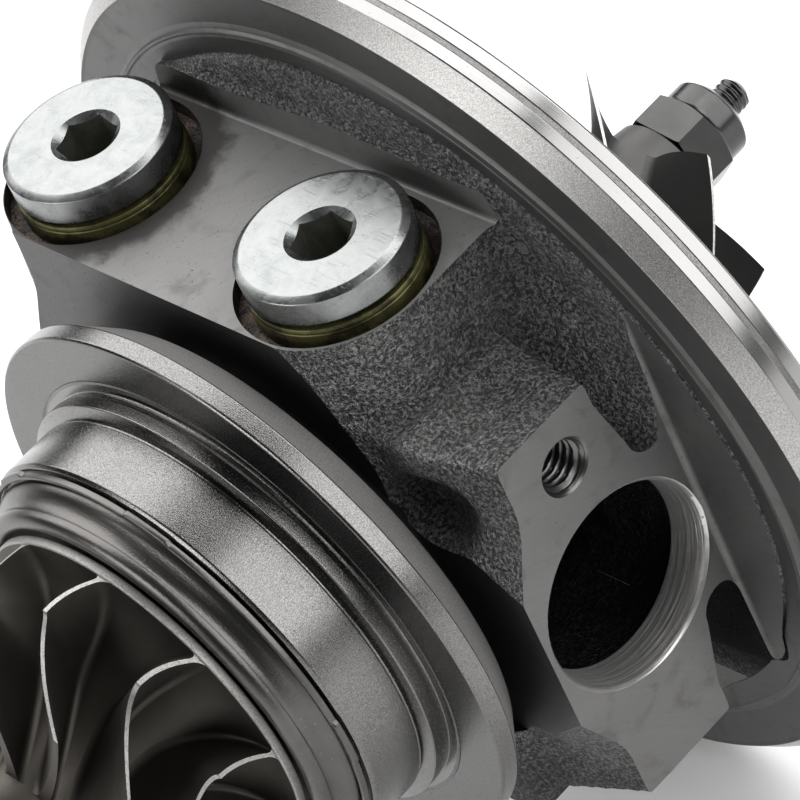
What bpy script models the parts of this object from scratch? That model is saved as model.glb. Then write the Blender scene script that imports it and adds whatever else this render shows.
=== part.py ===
# Turbo cartridge: bearing housing with its shaft, wheels, bushes, seals and port plugs.
# Units are metres. +X runs along the shaft from the turbine to the compressor, +Z is the
# normal of the pad that carries the two port plugs, and -Y is the normal of the drain pad.
# The origin lies on the shaft axis, in the front face of the clamp flange.
import math

import bmesh
import bpy
from mathutils import Matrix, Vector

mm = 0.001
FULL_TURN = 2 * math.pi

# Clearances
SEAT_GAP = 0.3 * mm
RUNNING_GAP = 0.07 * mm
THRUST_GAP = 0.1 * mm
OVERLAP = 1.0 * mm

# Facets round a full turn
HOUSING_FACETS = 50
BORE_FACETS = 28
SHAFT_FACETS = 24
WHEEL_FACETS = 30
RING_FACETS = 36
PLUG_FACETS = 32
SMALL_HOLE_FACETS = 14

# Turbine end of the housing: clamp flange, step and spigot
FLANGE_RADIUS = 34.5 * mm
FLANGE_RIM = 2.2 * mm
FLANGE_BEVEL = 3.7 * mm
STEP_RADIUS = 27.5 * mm
STEP_LENGTH = 2.4 * mm
STEP_BAND = 0.5 * mm
SPIGOT_RADIUS = 26.2 * mm
SPIGOT_LENGTH = 9.3 * mm
SPIGOT_CHAMFER = 0.8 * mm
SPIGOT_WALL = 4.4 * mm
SPIGOT_GROOVE_WIDTH = 0.4 * mm
SPIGOT_GROOVE_DEPTH = 0.3 * mm
SHIELD_POCKET_DEPTH = 5.2 * mm
SEAL_BOSS_WALL = 4.6 * mm

# Cast body between the flange and the disc
NECK_RADIUS = 27.6 * mm
NECK_X = 8.4 * mm
DRUM_RADIUS = 29.0 * mm
DRUM_START_X = 11.5 * mm
DRUM_END_X = 25.0 * mm
DISC_ROOT_RADIUS = 38.0 * mm

# Compressor-side disc
DISC_BACK_X = 32.8 * mm
CAST_LAND_RISE = 0.8 * mm
CAST_LAND_RADIUS = 44.5 * mm
RIDGE_RADIUS = 47.7 * mm
ANNULUS_DEPTH = 0.5 * mm
BEVEL_START_RADIUS = 53.5 * mm
DISC_RADIUS = 55.6 * mm
BEVEL_LENGTH = 2.2 * mm
NEAR_LAND = 1.4 * mm
GROOVE_WIDTH = 0.75 * mm
GROOVE_DEPTH = 1.3 * mm
FAR_LAND = 1.7 * mm
DISC_FACE_RADIUS = 41.0 * mm
DISC_FACE_DEPTH = 0.8 * mm

# Plug pad and its two port plugs
PLUG_PAD_Z = 33.4 * mm
PLUG_PAD_NEAR_X = 8.6 * mm
PLUG_PAD_RIGHT_Y = -22.4 * mm
PLUG_X = 19.9 * mm
PLUG_Y = (25.05 * mm, -11.05 * mm)
SPOT_FACE_RADIUS = 11.0 * mm
SPOT_FACE_DEPTH = 1.0 * mm
PLUG_BOSS_WALL = 1.3 * mm
PAD_BLOCK_BASE_Z = 8.0 * mm
SHOULDER_DRAFT = math.radians(18)
PLUG_COLLAR_RADIUS = 9.5 * mm
PLUG_COLLAR_HEIGHT = 3.8 * mm
PLUG_COLLAR_CHAMFER = 0.8 * mm
PLUG_SHANK_RADIUS = 6.9 * mm
PLUG_SHANK_LENGTH = 9.0 * mm
PLUG_HEX_ACROSS_FLATS = 6.0 * mm
PLUG_HEX_DEPTH = 5.6 * mm
PLUG_MOUTH_RADIUS = 4.1 * mm
PLUG_MOUTH_DEPTH = 0.7 * mm
WASHER_RADIUS = 10.3 * mm
WASHER_THICKNESS = 1.5 * mm

# Drain pad
DRAIN_PAD_Y = -35.7 * mm
DRAIN_X = 20.7 * mm
DRAIN_Z = -3.1 * mm
DRAIN_RADIUS = 11.05 * mm
DRAIN_WALL = 3.55 * mm
DRAIN_CHAMFER = 0.5 * mm
DRAIN_BORE_DEPTH = 4.6 * mm
DRAIN_PAD_NEAR_X = 12.4 * mm
DRAIN_PAD_FAR_X = 26.4 * mm
DRAIN_PAD_TOP_Z = 22.0 * mm
DRAIN_PAD_BOTTOM_Z = -27.2 * mm
DRAIN_PAD_ROOT_Y = -14.0 * mm
SHOULDER_VALLEY_Z = 23.6 * mm
POCKET_RADIUS = 2.8 * mm
POCKET_TOP_FLOOR_Z = 8.5 * mm
POCKET_BOTTOM_FLOOR_Z = -13.6 * mm
DRAIN_SCREW_X = 19.7 * mm
DRAIN_SCREW_Z = 15.5 * mm
DRAIN_SCREW_RADIUS = 2.55 * mm
DRAIN_SCREW_MOUTH = 3.1 * mm
DRAIN_SCREW_DEPTH = 9.0 * mm

# Oil cavity behind the drain
CAVITY_NEAR_X = 10.6 * mm
CAVITY_FAR_X = 28.6 * mm
CAVITY_HALF_HEIGHT = 9.2 * mm
CAVITY_INNER_Y = -9.9 * mm

# Oil feed boss and coolant ports on the sides away from the drain and the plugs
FEED_FACE_Y = 33.0 * mm
FEED_BOSS_RADIUS = 10.5 * mm
FEED_HOLE_RADIUS = 5.1 * mm
FEED_HOLE_DEPTH = 14.0 * mm
COOLANT_PAD_Z = -32.5 * mm
COOLANT_PAD_HALF_WIDTH = 22.0 * mm
COOLANT_PORT_SPACING = 24.0 * mm
COOLANT_PORT_RADIUS = 6.2 * mm
COOLANT_PORT_DEPTH = 12.0 * mm

# Bores along the shaft
JOURNAL_RADIUS = 4.0 * mm
JOURNAL_END_X = 25.4 * mm
RELIEF_RADIUS = 3.7 * mm
STUB_RADIUS = 2.45 * mm
SEAL_HUB_RADIUS = 8.3 * mm
SEAL_HUB_END_X = -1.2 * mm
BEARING_BORE_RADIUS = 6.5 * mm
THRUST_POCKET_RADIUS = 14.3 * mm
PLATE_POCKET_RADIUS = 19.3 * mm
PLATE_POCKET_X = 31.0 * mm

# Floating bushes and their circlips
BUSH_LENGTH = 7.0 * mm
TURBINE_BUSH_X = 2.4 * mm
BUSH_OIL_HOLE_RADIUS = 0.9 * mm
CIRCLIP_WIDTH = 0.9 * mm
CIRCLIP_INNER_RADIUS = 5.2 * mm
CIRCLIP_OUTER_RADIUS = 7.1 * mm
CIRCLIP_OPENING = math.radians(40)

# Thrust bearing, collar and deflector
COLLAR_RADIUS = 8.6 * mm
COLLAR_FLANGE = 1.7 * mm
COLLAR_GROOVE_RADIUS = 5.8 * mm
THRUST_BEARING_RADIUS = 14.0 * mm
THRUST_BEARING_THICKNESS = 3.4 * mm
DEFLECTOR_THICKNESS = 0.6 * mm
DEFLECTOR_HOLE_RADIUS = 9.3 * mm

# Seal plate, its ring and the seals
PLATE_RADIUS = 19.0 * mm
PLATE_THICKNESS = 4.0 * mm
PLATE_BOSS_HEIGHT = 1.6 * mm
PLATE_DISH_RADIUS = 14.5 * mm
SEAL_BORE_RADIUS = 7.0 * mm
O_RING_SECTION = 0.8 * mm
O_RING_GROOVE_DEPTH = 1.4 * mm
RETAINER_THICKNESS = 1.1 * mm
RETAINER_DEPTH = 1.3 * mm
RETAINER_WIDTH = 3.0 * mm
RETAINER_OPENING = math.radians(24)
SLEEVE_FLANGE = 0.9 * mm
PISTON_RING_WIDTH = 1.1 * mm
PISTON_RING_WALL = 1.2 * mm
PISTON_RING_OPENING = math.radians(8)

# Heat shield and its spring ring
SHIELD_THICKNESS = 0.6 * mm
SHIELD_SEAT_RADIUS = 24.6 * mm
SHIELD_SEAT_X = -10.3 * mm
SHIELD_CREST_X = -14.7 * mm
SHIELD_CREST_RADIUS = 22.4 * mm
SHIELD_FLOOR_X = -12.7 * mm
SHIELD_HOLE_RADIUS = 9.7 * mm
SPRING_RING_HEIGHT = 0.5 * mm
SPRING_TAB_HEIGHT = 0.35 * mm
SPRING_TAB_SPAN = math.radians(14)
SPRING_TAB_ANGLES = (math.radians(-34), math.radians(19), math.radians(89))

# Turbine wheel
TURBINE_BLADES = 10
TURBINE_RADIUS = 21.2 * mm
TURBINE_RIM_X = -15.0 * mm
TURBINE_RIM = 1.0 * mm
TURBINE_HUB_RADIUS = 6.4 * mm
TURBINE_EXIT_X = -33.6 * mm
TURBINE_NOSE_X = -38.0 * mm
TURBINE_NOSE_RADIUS = 4.0 * mm
TURBINE_INLET_TIP_X = -24.6 * mm
TURBINE_INLET_TIP_RADIUS = 20.4 * mm
TURBINE_EXIT_TIP_RADIUS = 17.6 * mm
TURBINE_BLADE_ROOT = 1.5 * mm
TURBINE_BLADE_TIP = 0.8 * mm
TURBINE_PHASE = math.radians(10.5)
TURBINE_LEAN = math.radians(5)
TURBINE_TURNING = math.radians(26)

# Compressor wheel, nut and shaft end
COMPRESSOR_BLADES = 6
COMPRESSOR_RADIUS = 25.6 * mm
COMPRESSOR_BACK_X = 41.3 * mm
COMPRESSOR_RIM = 1.1 * mm
COMPRESSOR_EXIT_WIDTH = 3.4 * mm
COMPRESSOR_INLET_X = 64.4 * mm
COMPRESSOR_INLET_RADIUS = 18.3 * mm
COMPRESSOR_HUB_RADIUS = 7.9 * mm
COMPRESSOR_NOSE_X = 67.6 * mm
COMPRESSOR_NOSE_RADIUS = 7.3 * mm
COMPRESSOR_BLADE_ROOT = 1.2 * mm
COMPRESSOR_BLADE_TIP = 0.55 * mm
COMPRESSOR_PHASE = math.radians(56)
COMPRESSOR_WRAP = math.radians(38)
COMPRESSOR_BACKSWEEP = math.radians(20)
SPLITTER_START = 0.27
NUT_ACROSS_FLATS = 13.0 * mm
NUT_HEX_LENGTH = 4.9 * mm
NUT_CROWN_RADIUS = 6.2 * mm
NUT_CROWN_LENGTH = 4.0 * mm
NUT_CHAMFER = 0.8 * mm
SHAFT_TIP_X = 80.4 * mm
SHAFT_TIP_CHAMFER = 0.5 * mm

# Worked-out places along the shaft
ANNULUS_X = DISC_BACK_X + ANNULUS_DEPTH
NEAR_LAND_X = ANNULUS_X - 0.2 * mm + BEVEL_LENGTH
GROOVE_X = NEAR_LAND_X + NEAR_LAND
FAR_LAND_X = GROOVE_X + GROOVE_WIDTH
DISC_FRONT_X = FAR_LAND_X + FAR_LAND
COMPRESSOR_BUSH_X = JOURNAL_END_X - SEAT_GAP - BUSH_LENGTH
SHOULDER_VALLEY_Y = PLUG_PAD_RIGHT_Y - (PLUG_PAD_Z - SHOULDER_VALLEY_Z) * math.tan(SHOULDER_DRAFT)
CIRCLIP_X = (
    TURBINE_BUSH_X - SEAT_GAP - CIRCLIP_WIDTH,
    TURBINE_BUSH_X + BUSH_LENGTH + SEAT_GAP,
    COMPRESSOR_BUSH_X - SEAT_GAP - CIRCLIP_WIDTH,
)
COLLAR_X = JOURNAL_END_X + SEAT_GAP
THRUST_BEARING_X = COLLAR_X + COLLAR_FLANGE + THRUST_GAP
COLLAR_END_X = THRUST_BEARING_X + THRUST_BEARING_THICKNESS + THRUST_GAP + COLLAR_FLANGE
DEFLECTOR_X = PLATE_POCKET_X + SEAT_GAP
PLATE_X = DEFLECTOR_X + DEFLECTOR_THICKNESS + SEAT_GAP
PLATE_END_X = PLATE_X + PLATE_THICKNESS
RETAINER_X = PLATE_END_X + SEAT_GAP
SLEEVE_X = COLLAR_END_X + SEAT_GAP
SLEEVE_END_X = COMPRESSOR_BACK_X - 0.6 * mm - SEAT_GAP
SHAFT_START_X = TURBINE_RIM_X + 1.6 * mm
WHEEL_RING_X = -6.2 * mm
PLATE_DISH_X = SLEEVE_X + SLEEVE_FLANGE + SEAT_GAP
SLEEVE_RING_X = PLATE_END_X - PISTON_RING_WIDTH
NUT_X = COMPRESSOR_NOSE_X + SEAT_GAP
SEAL_BORE_CLEAR = SEAL_HUB_RADIUS + THRUST_GAP
PLUG_FLOOR_Z = PLUG_PAD_Z - SPOT_FACE_DEPTH
WASHER_Z = PLUG_FLOOR_Z + SEAT_GAP
COLLAR_BASE_Z = WASHER_Z + WASHER_THICKNESS + SEAT_GAP
PLUG_TOP_Z = COLLAR_BASE_Z + PLUG_COLLAR_HEIGHT


def clear_scene():
    for thing in list(bpy.data.objects):
        bpy.data.objects.remove(thing, do_unlink=True)


def material(name, colour, roughness, metallic):
    made = bpy.data.materials.new(name)
    made.use_nodes = True
    shader = made.node_tree.nodes["Principled BSDF"]
    shader.inputs["Base Color"].default_value = (*colour, 1.0)
    shader.inputs["Roughness"].default_value = roughness
    shader.inputs["Metallic"].default_value = metallic
    made.diffuse_color = (*colour, 1.0)
    return made


def add_object(name, mesh_data, look, smooth=True):
    made = bpy.data.objects.new(name, mesh_data)
    bpy.context.collection.objects.link(made)
    if look is not None:
        made.data.materials.append(look)
    if smooth:
        made.data.shade_smooth()
        made.data.set_sharp_from_angle(angle=math.radians(32))
    return made


def mesh_from(name, builder):
    """Run builder on an empty bmesh, weld its seams and return the mesh."""
    work = bmesh.new()
    builder(work)
    bmesh.ops.remove_doubles(work, verts=work.verts, dist=1e-7)
    bmesh.ops.recalc_face_normals(work, faces=work.faces)
    mesh_data = bpy.data.meshes.new(name)
    work.to_mesh(mesh_data)
    work.free()
    return mesh_data


def arc(centre_u, centre_v, radius, start, end, count):
    """Points on an arc of a profile, angles in degrees, both ends included."""
    points = []
    for step in range(count + 1):
        turn = math.radians(start + (end - start) * step / count)
        points.append((centre_u + radius * math.cos(turn), centre_v + radius * math.sin(turn)))
    return points


def spin_profile(work, profile, facets, span=FULL_TURN, start=0.0):
    """Spin a closed (x, radius) profile about the X axis, capping an open span."""
    turn_start = Matrix.Rotation(start, 3, "X")
    verts = [work.verts.new(turn_start @ Vector((x, 0.0, radius))) for x, radius in profile]
    edges = [work.edges.new((verts[i], verts[(i + 1) % len(verts)])) for i in range(len(verts))]
    whole = abs(span - FULL_TURN) < 1e-9
    geometry = verts + edges
    if not whole:
        geometry = geometry + [work.faces.new(verts)]
    bmesh.ops.spin(
        work,
        geom=geometry,
        cent=(0.0, 0.0, 0.0),
        axis=(1.0, 0.0, 0.0),
        angle=span,
        steps=facets,
        use_merge=whole,
    )


def turned(name, profile, look, facets=RING_FACETS, span=FULL_TURN, start=0.0):
    """A turned piece: a closed (x, radius) profile spun about the shaft axis."""
    made = mesh_from(name, lambda work: spin_profile(work, profile, facets, span, start))
    return add_object(name, made, look)


def turned_at(name, profile, place, direction, look, facets):
    """A turned piece whose profile runs (distance, radius) from place along direction."""
    made = turned(name, profile, look, facets)
    made.location = place
    made.rotation_euler = Vector((1.0, 0.0, 0.0)).rotation_difference(Vector(direction)).to_euler()
    return made


def prism(name, outline, axis, low, high, look, rounding=0.0):
    """Extrude a flat outline along Y or Z between two heights, rounding its long edges."""
    placed = {
        "X": lambda u, v, w: (w, u, v),
        "Y": lambda u, v, w: (u, w, v),
        "Z": lambda u, v, w: (u, v, w),
    }[axis]

    def build(work):
        base = work.faces.new([work.verts.new(placed(u, v, low)) for u, v in outline])
        grown = bmesh.ops.extrude_face_region(work, geom=[base])
        moved = [item for item in grown["geom"] if isinstance(item, bmesh.types.BMVert)]
        offset = Vector(placed(0.0, 0.0, high - low))
        bmesh.ops.translate(work, verts=moved, vec=offset)
        if rounding:
            along = offset.normalized()
            long_edges = [
                edge
                for edge in work.edges
                if abs((edge.verts[0].co - edge.verts[1].co).normalized().dot(along)) > 0.99
            ]
            bmesh.ops.bevel(
                work,
                geom=long_edges,
                offset=rounding,
                segments=3,
                profile=0.5,
                affect="EDGES",
                clamp_overlap=True,
            )

    return add_object(name, mesh_from(name, build), look)


def box_outline(low_u, high_u, low_v, high_v):
    return [(low_u, low_v), (high_u, low_v), (high_u, high_v), (low_u, high_v)]


def combine(target, tool, operation):
    """Boolean the tool into the target and keep the tool as hidden construction."""
    step = target.modifiers.new(tool.name, "BOOLEAN")
    step.operation = operation
    step.solver = "EXACT"
    step.object = tool
    tool.hide_render = True
    tool.display_type = "WIRE"


def housing_profile():
    """Outer contour from the spigot face to the compressor face of the disc."""
    spigot_x = -SPIGOT_LENGTH
    groove_x = -STEP_LENGTH - STEP_BAND - SPIGOT_GROOVE_WIDTH
    return [
        (spigot_x, 0.0),
        (spigot_x, SPIGOT_RADIUS - SPIGOT_CHAMFER),
        (spigot_x + SPIGOT_CHAMFER, SPIGOT_RADIUS),
        (groove_x, SPIGOT_RADIUS),
        (groove_x, SPIGOT_RADIUS - SPIGOT_GROOVE_DEPTH),
        (groove_x + SPIGOT_GROOVE_WIDTH, SPIGOT_RADIUS - SPIGOT_GROOVE_DEPTH),
        (-STEP_LENGTH, STEP_RADIUS),
        (0.0, STEP_RADIUS),
        (0.0, FLANGE_RADIUS),
        (FLANGE_RIM, FLANGE_RADIUS),
        (FLANGE_RIM + FLANGE_BEVEL, FLANGE_RADIUS - FLANGE_BEVEL),
        (NECK_X, NECK_RADIUS),
        (DRUM_START_X, DRUM_RADIUS),
        (DRUM_END_X, DRUM_RADIUS),
        (DISC_BACK_X - CAST_LAND_RISE, DISC_ROOT_RADIUS),
        (DISC_BACK_X - CAST_LAND_RISE, CAST_LAND_RADIUS),
        (DISC_BACK_X, CAST_LAND_RADIUS + CAST_LAND_RISE),
        (DISC_BACK_X, RIDGE_RADIUS),
        (ANNULUS_X, RIDGE_RADIUS + 0.3 * mm),
        (ANNULUS_X, BEVEL_START_RADIUS),
        (NEAR_LAND_X, DISC_RADIUS),
        (GROOVE_X, DISC_RADIUS),
        (GROOVE_X, DISC_RADIUS - GROOVE_DEPTH),
        (FAR_LAND_X, DISC_RADIUS - GROOVE_DEPTH),
        (FAR_LAND_X, DISC_RADIUS),
        (DISC_FRONT_X, DISC_RADIUS),
        (DISC_FRONT_X, 0.0),
    ]


def compressor_side_pocket():
    """Cutter for the recess behind the wheel, the seal plate's seat and the thrust pocket."""
    face_x = DISC_FRONT_X - DISC_FACE_DEPTH
    retainer_end = RETAINER_X + RETAINER_THICKNESS + SEAT_GAP
    retainer_radius = PLATE_POCKET_RADIUS + RETAINER_DEPTH
    profile = [
        (DISC_FRONT_X + OVERLAP, 0.0),
        (DISC_FRONT_X + OVERLAP, DISC_FACE_RADIUS),
        (face_x, DISC_FACE_RADIUS - DISC_FACE_DEPTH),
        (face_x, PLATE_POCKET_RADIUS),
        (retainer_end, PLATE_POCKET_RADIUS),
        (retainer_end, retainer_radius),
        (RETAINER_X - 0.1 * mm, retainer_radius),
        (RETAINER_X - 0.1 * mm, PLATE_POCKET_RADIUS),
        (PLATE_POCKET_X, PLATE_POCKET_RADIUS),
        (PLATE_POCKET_X, THRUST_POCKET_RADIUS),
        (JOURNAL_END_X, THRUST_POCKET_RADIUS),
        (JOURNAL_END_X, 0.0),
    ]
    return turned("compressor_side_pocket", profile, None, RING_FACETS)


def bearing_bore():
    """Cutter for the bush bore with its circlip grooves and the turbine seal bore."""
    groove_radius = CIRCLIP_OUTER_RADIUS + SEAT_GAP
    profile = [
        (JOURNAL_END_X + OVERLAP, 0.0),
        (JOURNAL_END_X + OVERLAP, BEARING_BORE_RADIUS),
    ]
    for start in reversed(CIRCLIP_X):
        profile += [
            (start + CIRCLIP_WIDTH + 0.2 * mm, BEARING_BORE_RADIUS),
            (start + CIRCLIP_WIDTH + 0.2 * mm, groove_radius),
            (start - 0.2 * mm, groove_radius),
            (start - 0.2 * mm, BEARING_BORE_RADIUS),
        ]
    profile += [
        (SEAL_HUB_END_X + SEAT_GAP, BEARING_BORE_RADIUS),
        (SEAL_HUB_END_X + SEAT_GAP, SEAL_BORE_CLEAR),
        (-SPIGOT_LENGTH - OVERLAP, SEAL_BORE_CLEAR),
        (-SPIGOT_LENGTH - OVERLAP, 0.0),
    ]
    return turned("bearing_bore", profile, None, BORE_FACETS)


def shield_pocket():
    """Cutter for the annular recess between the seal boss and the spigot's wall."""
    inner = SEAL_BORE_CLEAR + SEAL_BOSS_WALL
    outer = SPIGOT_RADIUS - SPIGOT_WALL
    floor_x = -SPIGOT_LENGTH + SHIELD_POCKET_DEPTH
    profile = [
        (-SPIGOT_LENGTH - OVERLAP, inner),
        (-SPIGOT_LENGTH - OVERLAP, outer),
        (floor_x, outer - 1.0 * mm),
        (floor_x, inner + 1.0 * mm),
    ]
    return turned("shield_pocket", profile, None, RING_FACETS)


def drain_outline():
    """Drain pad in (x, z): two ears, a round wall cut flat by the near face, and a foot on the disc."""
    wall_radius = DRAIN_RADIUS + DRAIN_WALL
    reach = math.degrees(math.acos((DRAIN_X - DRAIN_PAD_NEAR_X) / wall_radius))
    flat = math.degrees(math.acos((DRAIN_X - PLUG_PAD_NEAR_X) / wall_radius))
    foot_x = DISC_BACK_X + OVERLAP
    pocket_x = DRAIN_PAD_FAR_X + POCKET_RADIUS
    disc_side_x = DISC_BACK_X - CAST_LAND_RISE
    outline = [(DRAIN_PAD_FAR_X, DRAIN_PAD_TOP_Z), (DRAIN_PAD_NEAR_X, DRAIN_PAD_TOP_Z)]
    outline += arc(DRAIN_X, DRAIN_Z, wall_radius, 180 - reach, 180 - flat, 3)
    outline += arc(DRAIN_X, DRAIN_Z, wall_radius, 180 + flat, 180 + reach, 3)
    outline += [(DRAIN_PAD_NEAR_X, DRAIN_PAD_BOTTOM_Z), (DRAIN_PAD_FAR_X, DRAIN_PAD_BOTTOM_Z)]
    outline += arc(pocket_x, POCKET_BOTTOM_FLOOR_Z - POCKET_RADIUS, POCKET_RADIUS, 180, 20, 4)
    outline += [(foot_x, POCKET_BOTTOM_FLOOR_Z - POCKET_RADIUS)]
    outline += [(foot_x, POCKET_TOP_FLOOR_Z + POCKET_RADIUS)]
    outline += [(disc_side_x, POCKET_TOP_FLOOR_Z + POCKET_RADIUS)]
    outline += arc(pocket_x, POCKET_TOP_FLOOR_Z + POCKET_RADIUS, POCKET_RADIUS, -20, -180, 4)
    return outline


def plug_pad_blocks():
    """The pad block over the drum with its drafted side, and the round boss under the outer plug."""
    outline = [
        (PLUG_PAD_RIGHT_Y, PLUG_PAD_Z),
        (SHOULDER_VALLEY_Y, SHOULDER_VALLEY_Z),
        (PLUG_PAD_RIGHT_Y - 2.0 * mm, PLUG_PAD_Z / 2),
        (PLUG_PAD_RIGHT_Y, PAD_BLOCK_BASE_Z),
        (PLUG_Y[0], PAD_BLOCK_BASE_Z),
        (PLUG_Y[0], PLUG_PAD_Z),
    ]
    block = prism("plug_pad_block", outline, "X", PLUG_PAD_NEAR_X, DISC_BACK_X + OVERLAP, None)
    boss = turned_at(
        "plug_boss",
        [(0.0, 0.0), (0.0, 9.0 * mm), (14.0 * mm, SPOT_FACE_RADIUS + PLUG_BOSS_WALL),
         (PLUG_PAD_Z - 10.0 * mm, SPOT_FACE_RADIUS + PLUG_BOSS_WALL), (PLUG_PAD_Z - 10.0 * mm, 0.0)],
        (PLUG_X, PLUG_Y[0], 10.0 * mm),
        (0.0, 0.0, 1.0),
        None,
        PLUG_FACETS,
    )
    return block, boss


def shoulder_block():
    """Cast shoulder behind the drain pad, whose top slopes up from the ear to the pad block."""
    face_y = DRAIN_PAD_Y + SEAT_GAP
    outline = [
        (SHOULDER_VALLEY_Y + 3.0 * mm, SHOULDER_VALLEY_Z + 3.0 * mm),
        (SHOULDER_VALLEY_Y - 0.4 * mm, SHOULDER_VALLEY_Z + 0.4 * mm),
        (face_y, DRAIN_PAD_TOP_Z - 0.1 * mm),
        (face_y, DRAIN_PAD_TOP_Z - 3.0 * mm),
        (DRAIN_PAD_Y + 6.0 * mm, DRAIN_PAD_BOTTOM_Z + 6.0 * mm),
        (-12.0 * mm, DRAIN_PAD_BOTTOM_Z - 2.0 * mm),
        (-12.0 * mm, SHOULDER_VALLEY_Z + 3.0 * mm),
    ]
    return prism(
        "drain_shoulder",
        outline,
        "X",
        DRAIN_PAD_NEAR_X + SEAT_GAP,
        DRAIN_PAD_FAR_X - SEAT_GAP,
        None,
    )


def near_face_cut():
    """Cutter for the turned face that ends the plug boss flush with the pad block."""
    profile = [
        (PLUG_PAD_NEAR_X - 6.0 * mm, DRUM_RADIUS + OVERLAP),
        (PLUG_PAD_NEAR_X - 6.0 * mm, DISC_RADIUS),
        (PLUG_PAD_NEAR_X, DISC_RADIUS),
        (PLUG_PAD_NEAR_X, DRUM_RADIUS + OVERLAP),
    ]
    return turned("near_face_cut", profile, None, RING_FACETS)


def spot_faced_hole(name, place, direction, face_radius, face_depth, hole_radius, depth):
    """Cutter for a hole with a wider spot face, entering against direction."""
    profile = [
        (-OVERLAP, 0.0),
        (-OVERLAP, face_radius),
        (face_depth, face_radius),
        (face_depth, hole_radius),
        (depth, hole_radius),
        (depth + hole_radius * 0.4, 0.0),
    ]
    return turned_at(name, profile, place, direction, None, SMALL_HOLE_FACETS * 2)


def drain_bore_cutter():
    """Turned mouth of the drain: a chamfer and the short cylindrical wall."""
    profile = [
        (-OVERLAP, 0.0),
        (-OVERLAP, DRAIN_RADIUS + DRAIN_CHAMFER + OVERLAP),
        (DRAIN_CHAMFER, DRAIN_RADIUS),
        (DRAIN_BORE_DEPTH + OVERLAP, DRAIN_RADIUS),
        (DRAIN_BORE_DEPTH + OVERLAP, 0.0),
    ]
    return turned_at(
        "drain_bore", profile, (DRAIN_X, DRAIN_PAD_Y, DRAIN_Z), (0.0, 1.0, 0.0), None, PLUG_FACETS
    )


def oil_cavity_cutter():
    """Cast oil cavity between the drain bore and the bearing tube."""
    return prism(
        "oil_cavity",
        box_outline(
            CAVITY_NEAR_X, CAVITY_FAR_X, DRAIN_Z - CAVITY_HALF_HEIGHT, DRAIN_Z + CAVITY_HALF_HEIGHT
        ),
        "Y",
        DRAIN_PAD_Y + DRAIN_BORE_DEPTH,
        CAVITY_INNER_Y,
        None,
        rounding=5.0 * mm,
    )


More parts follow.
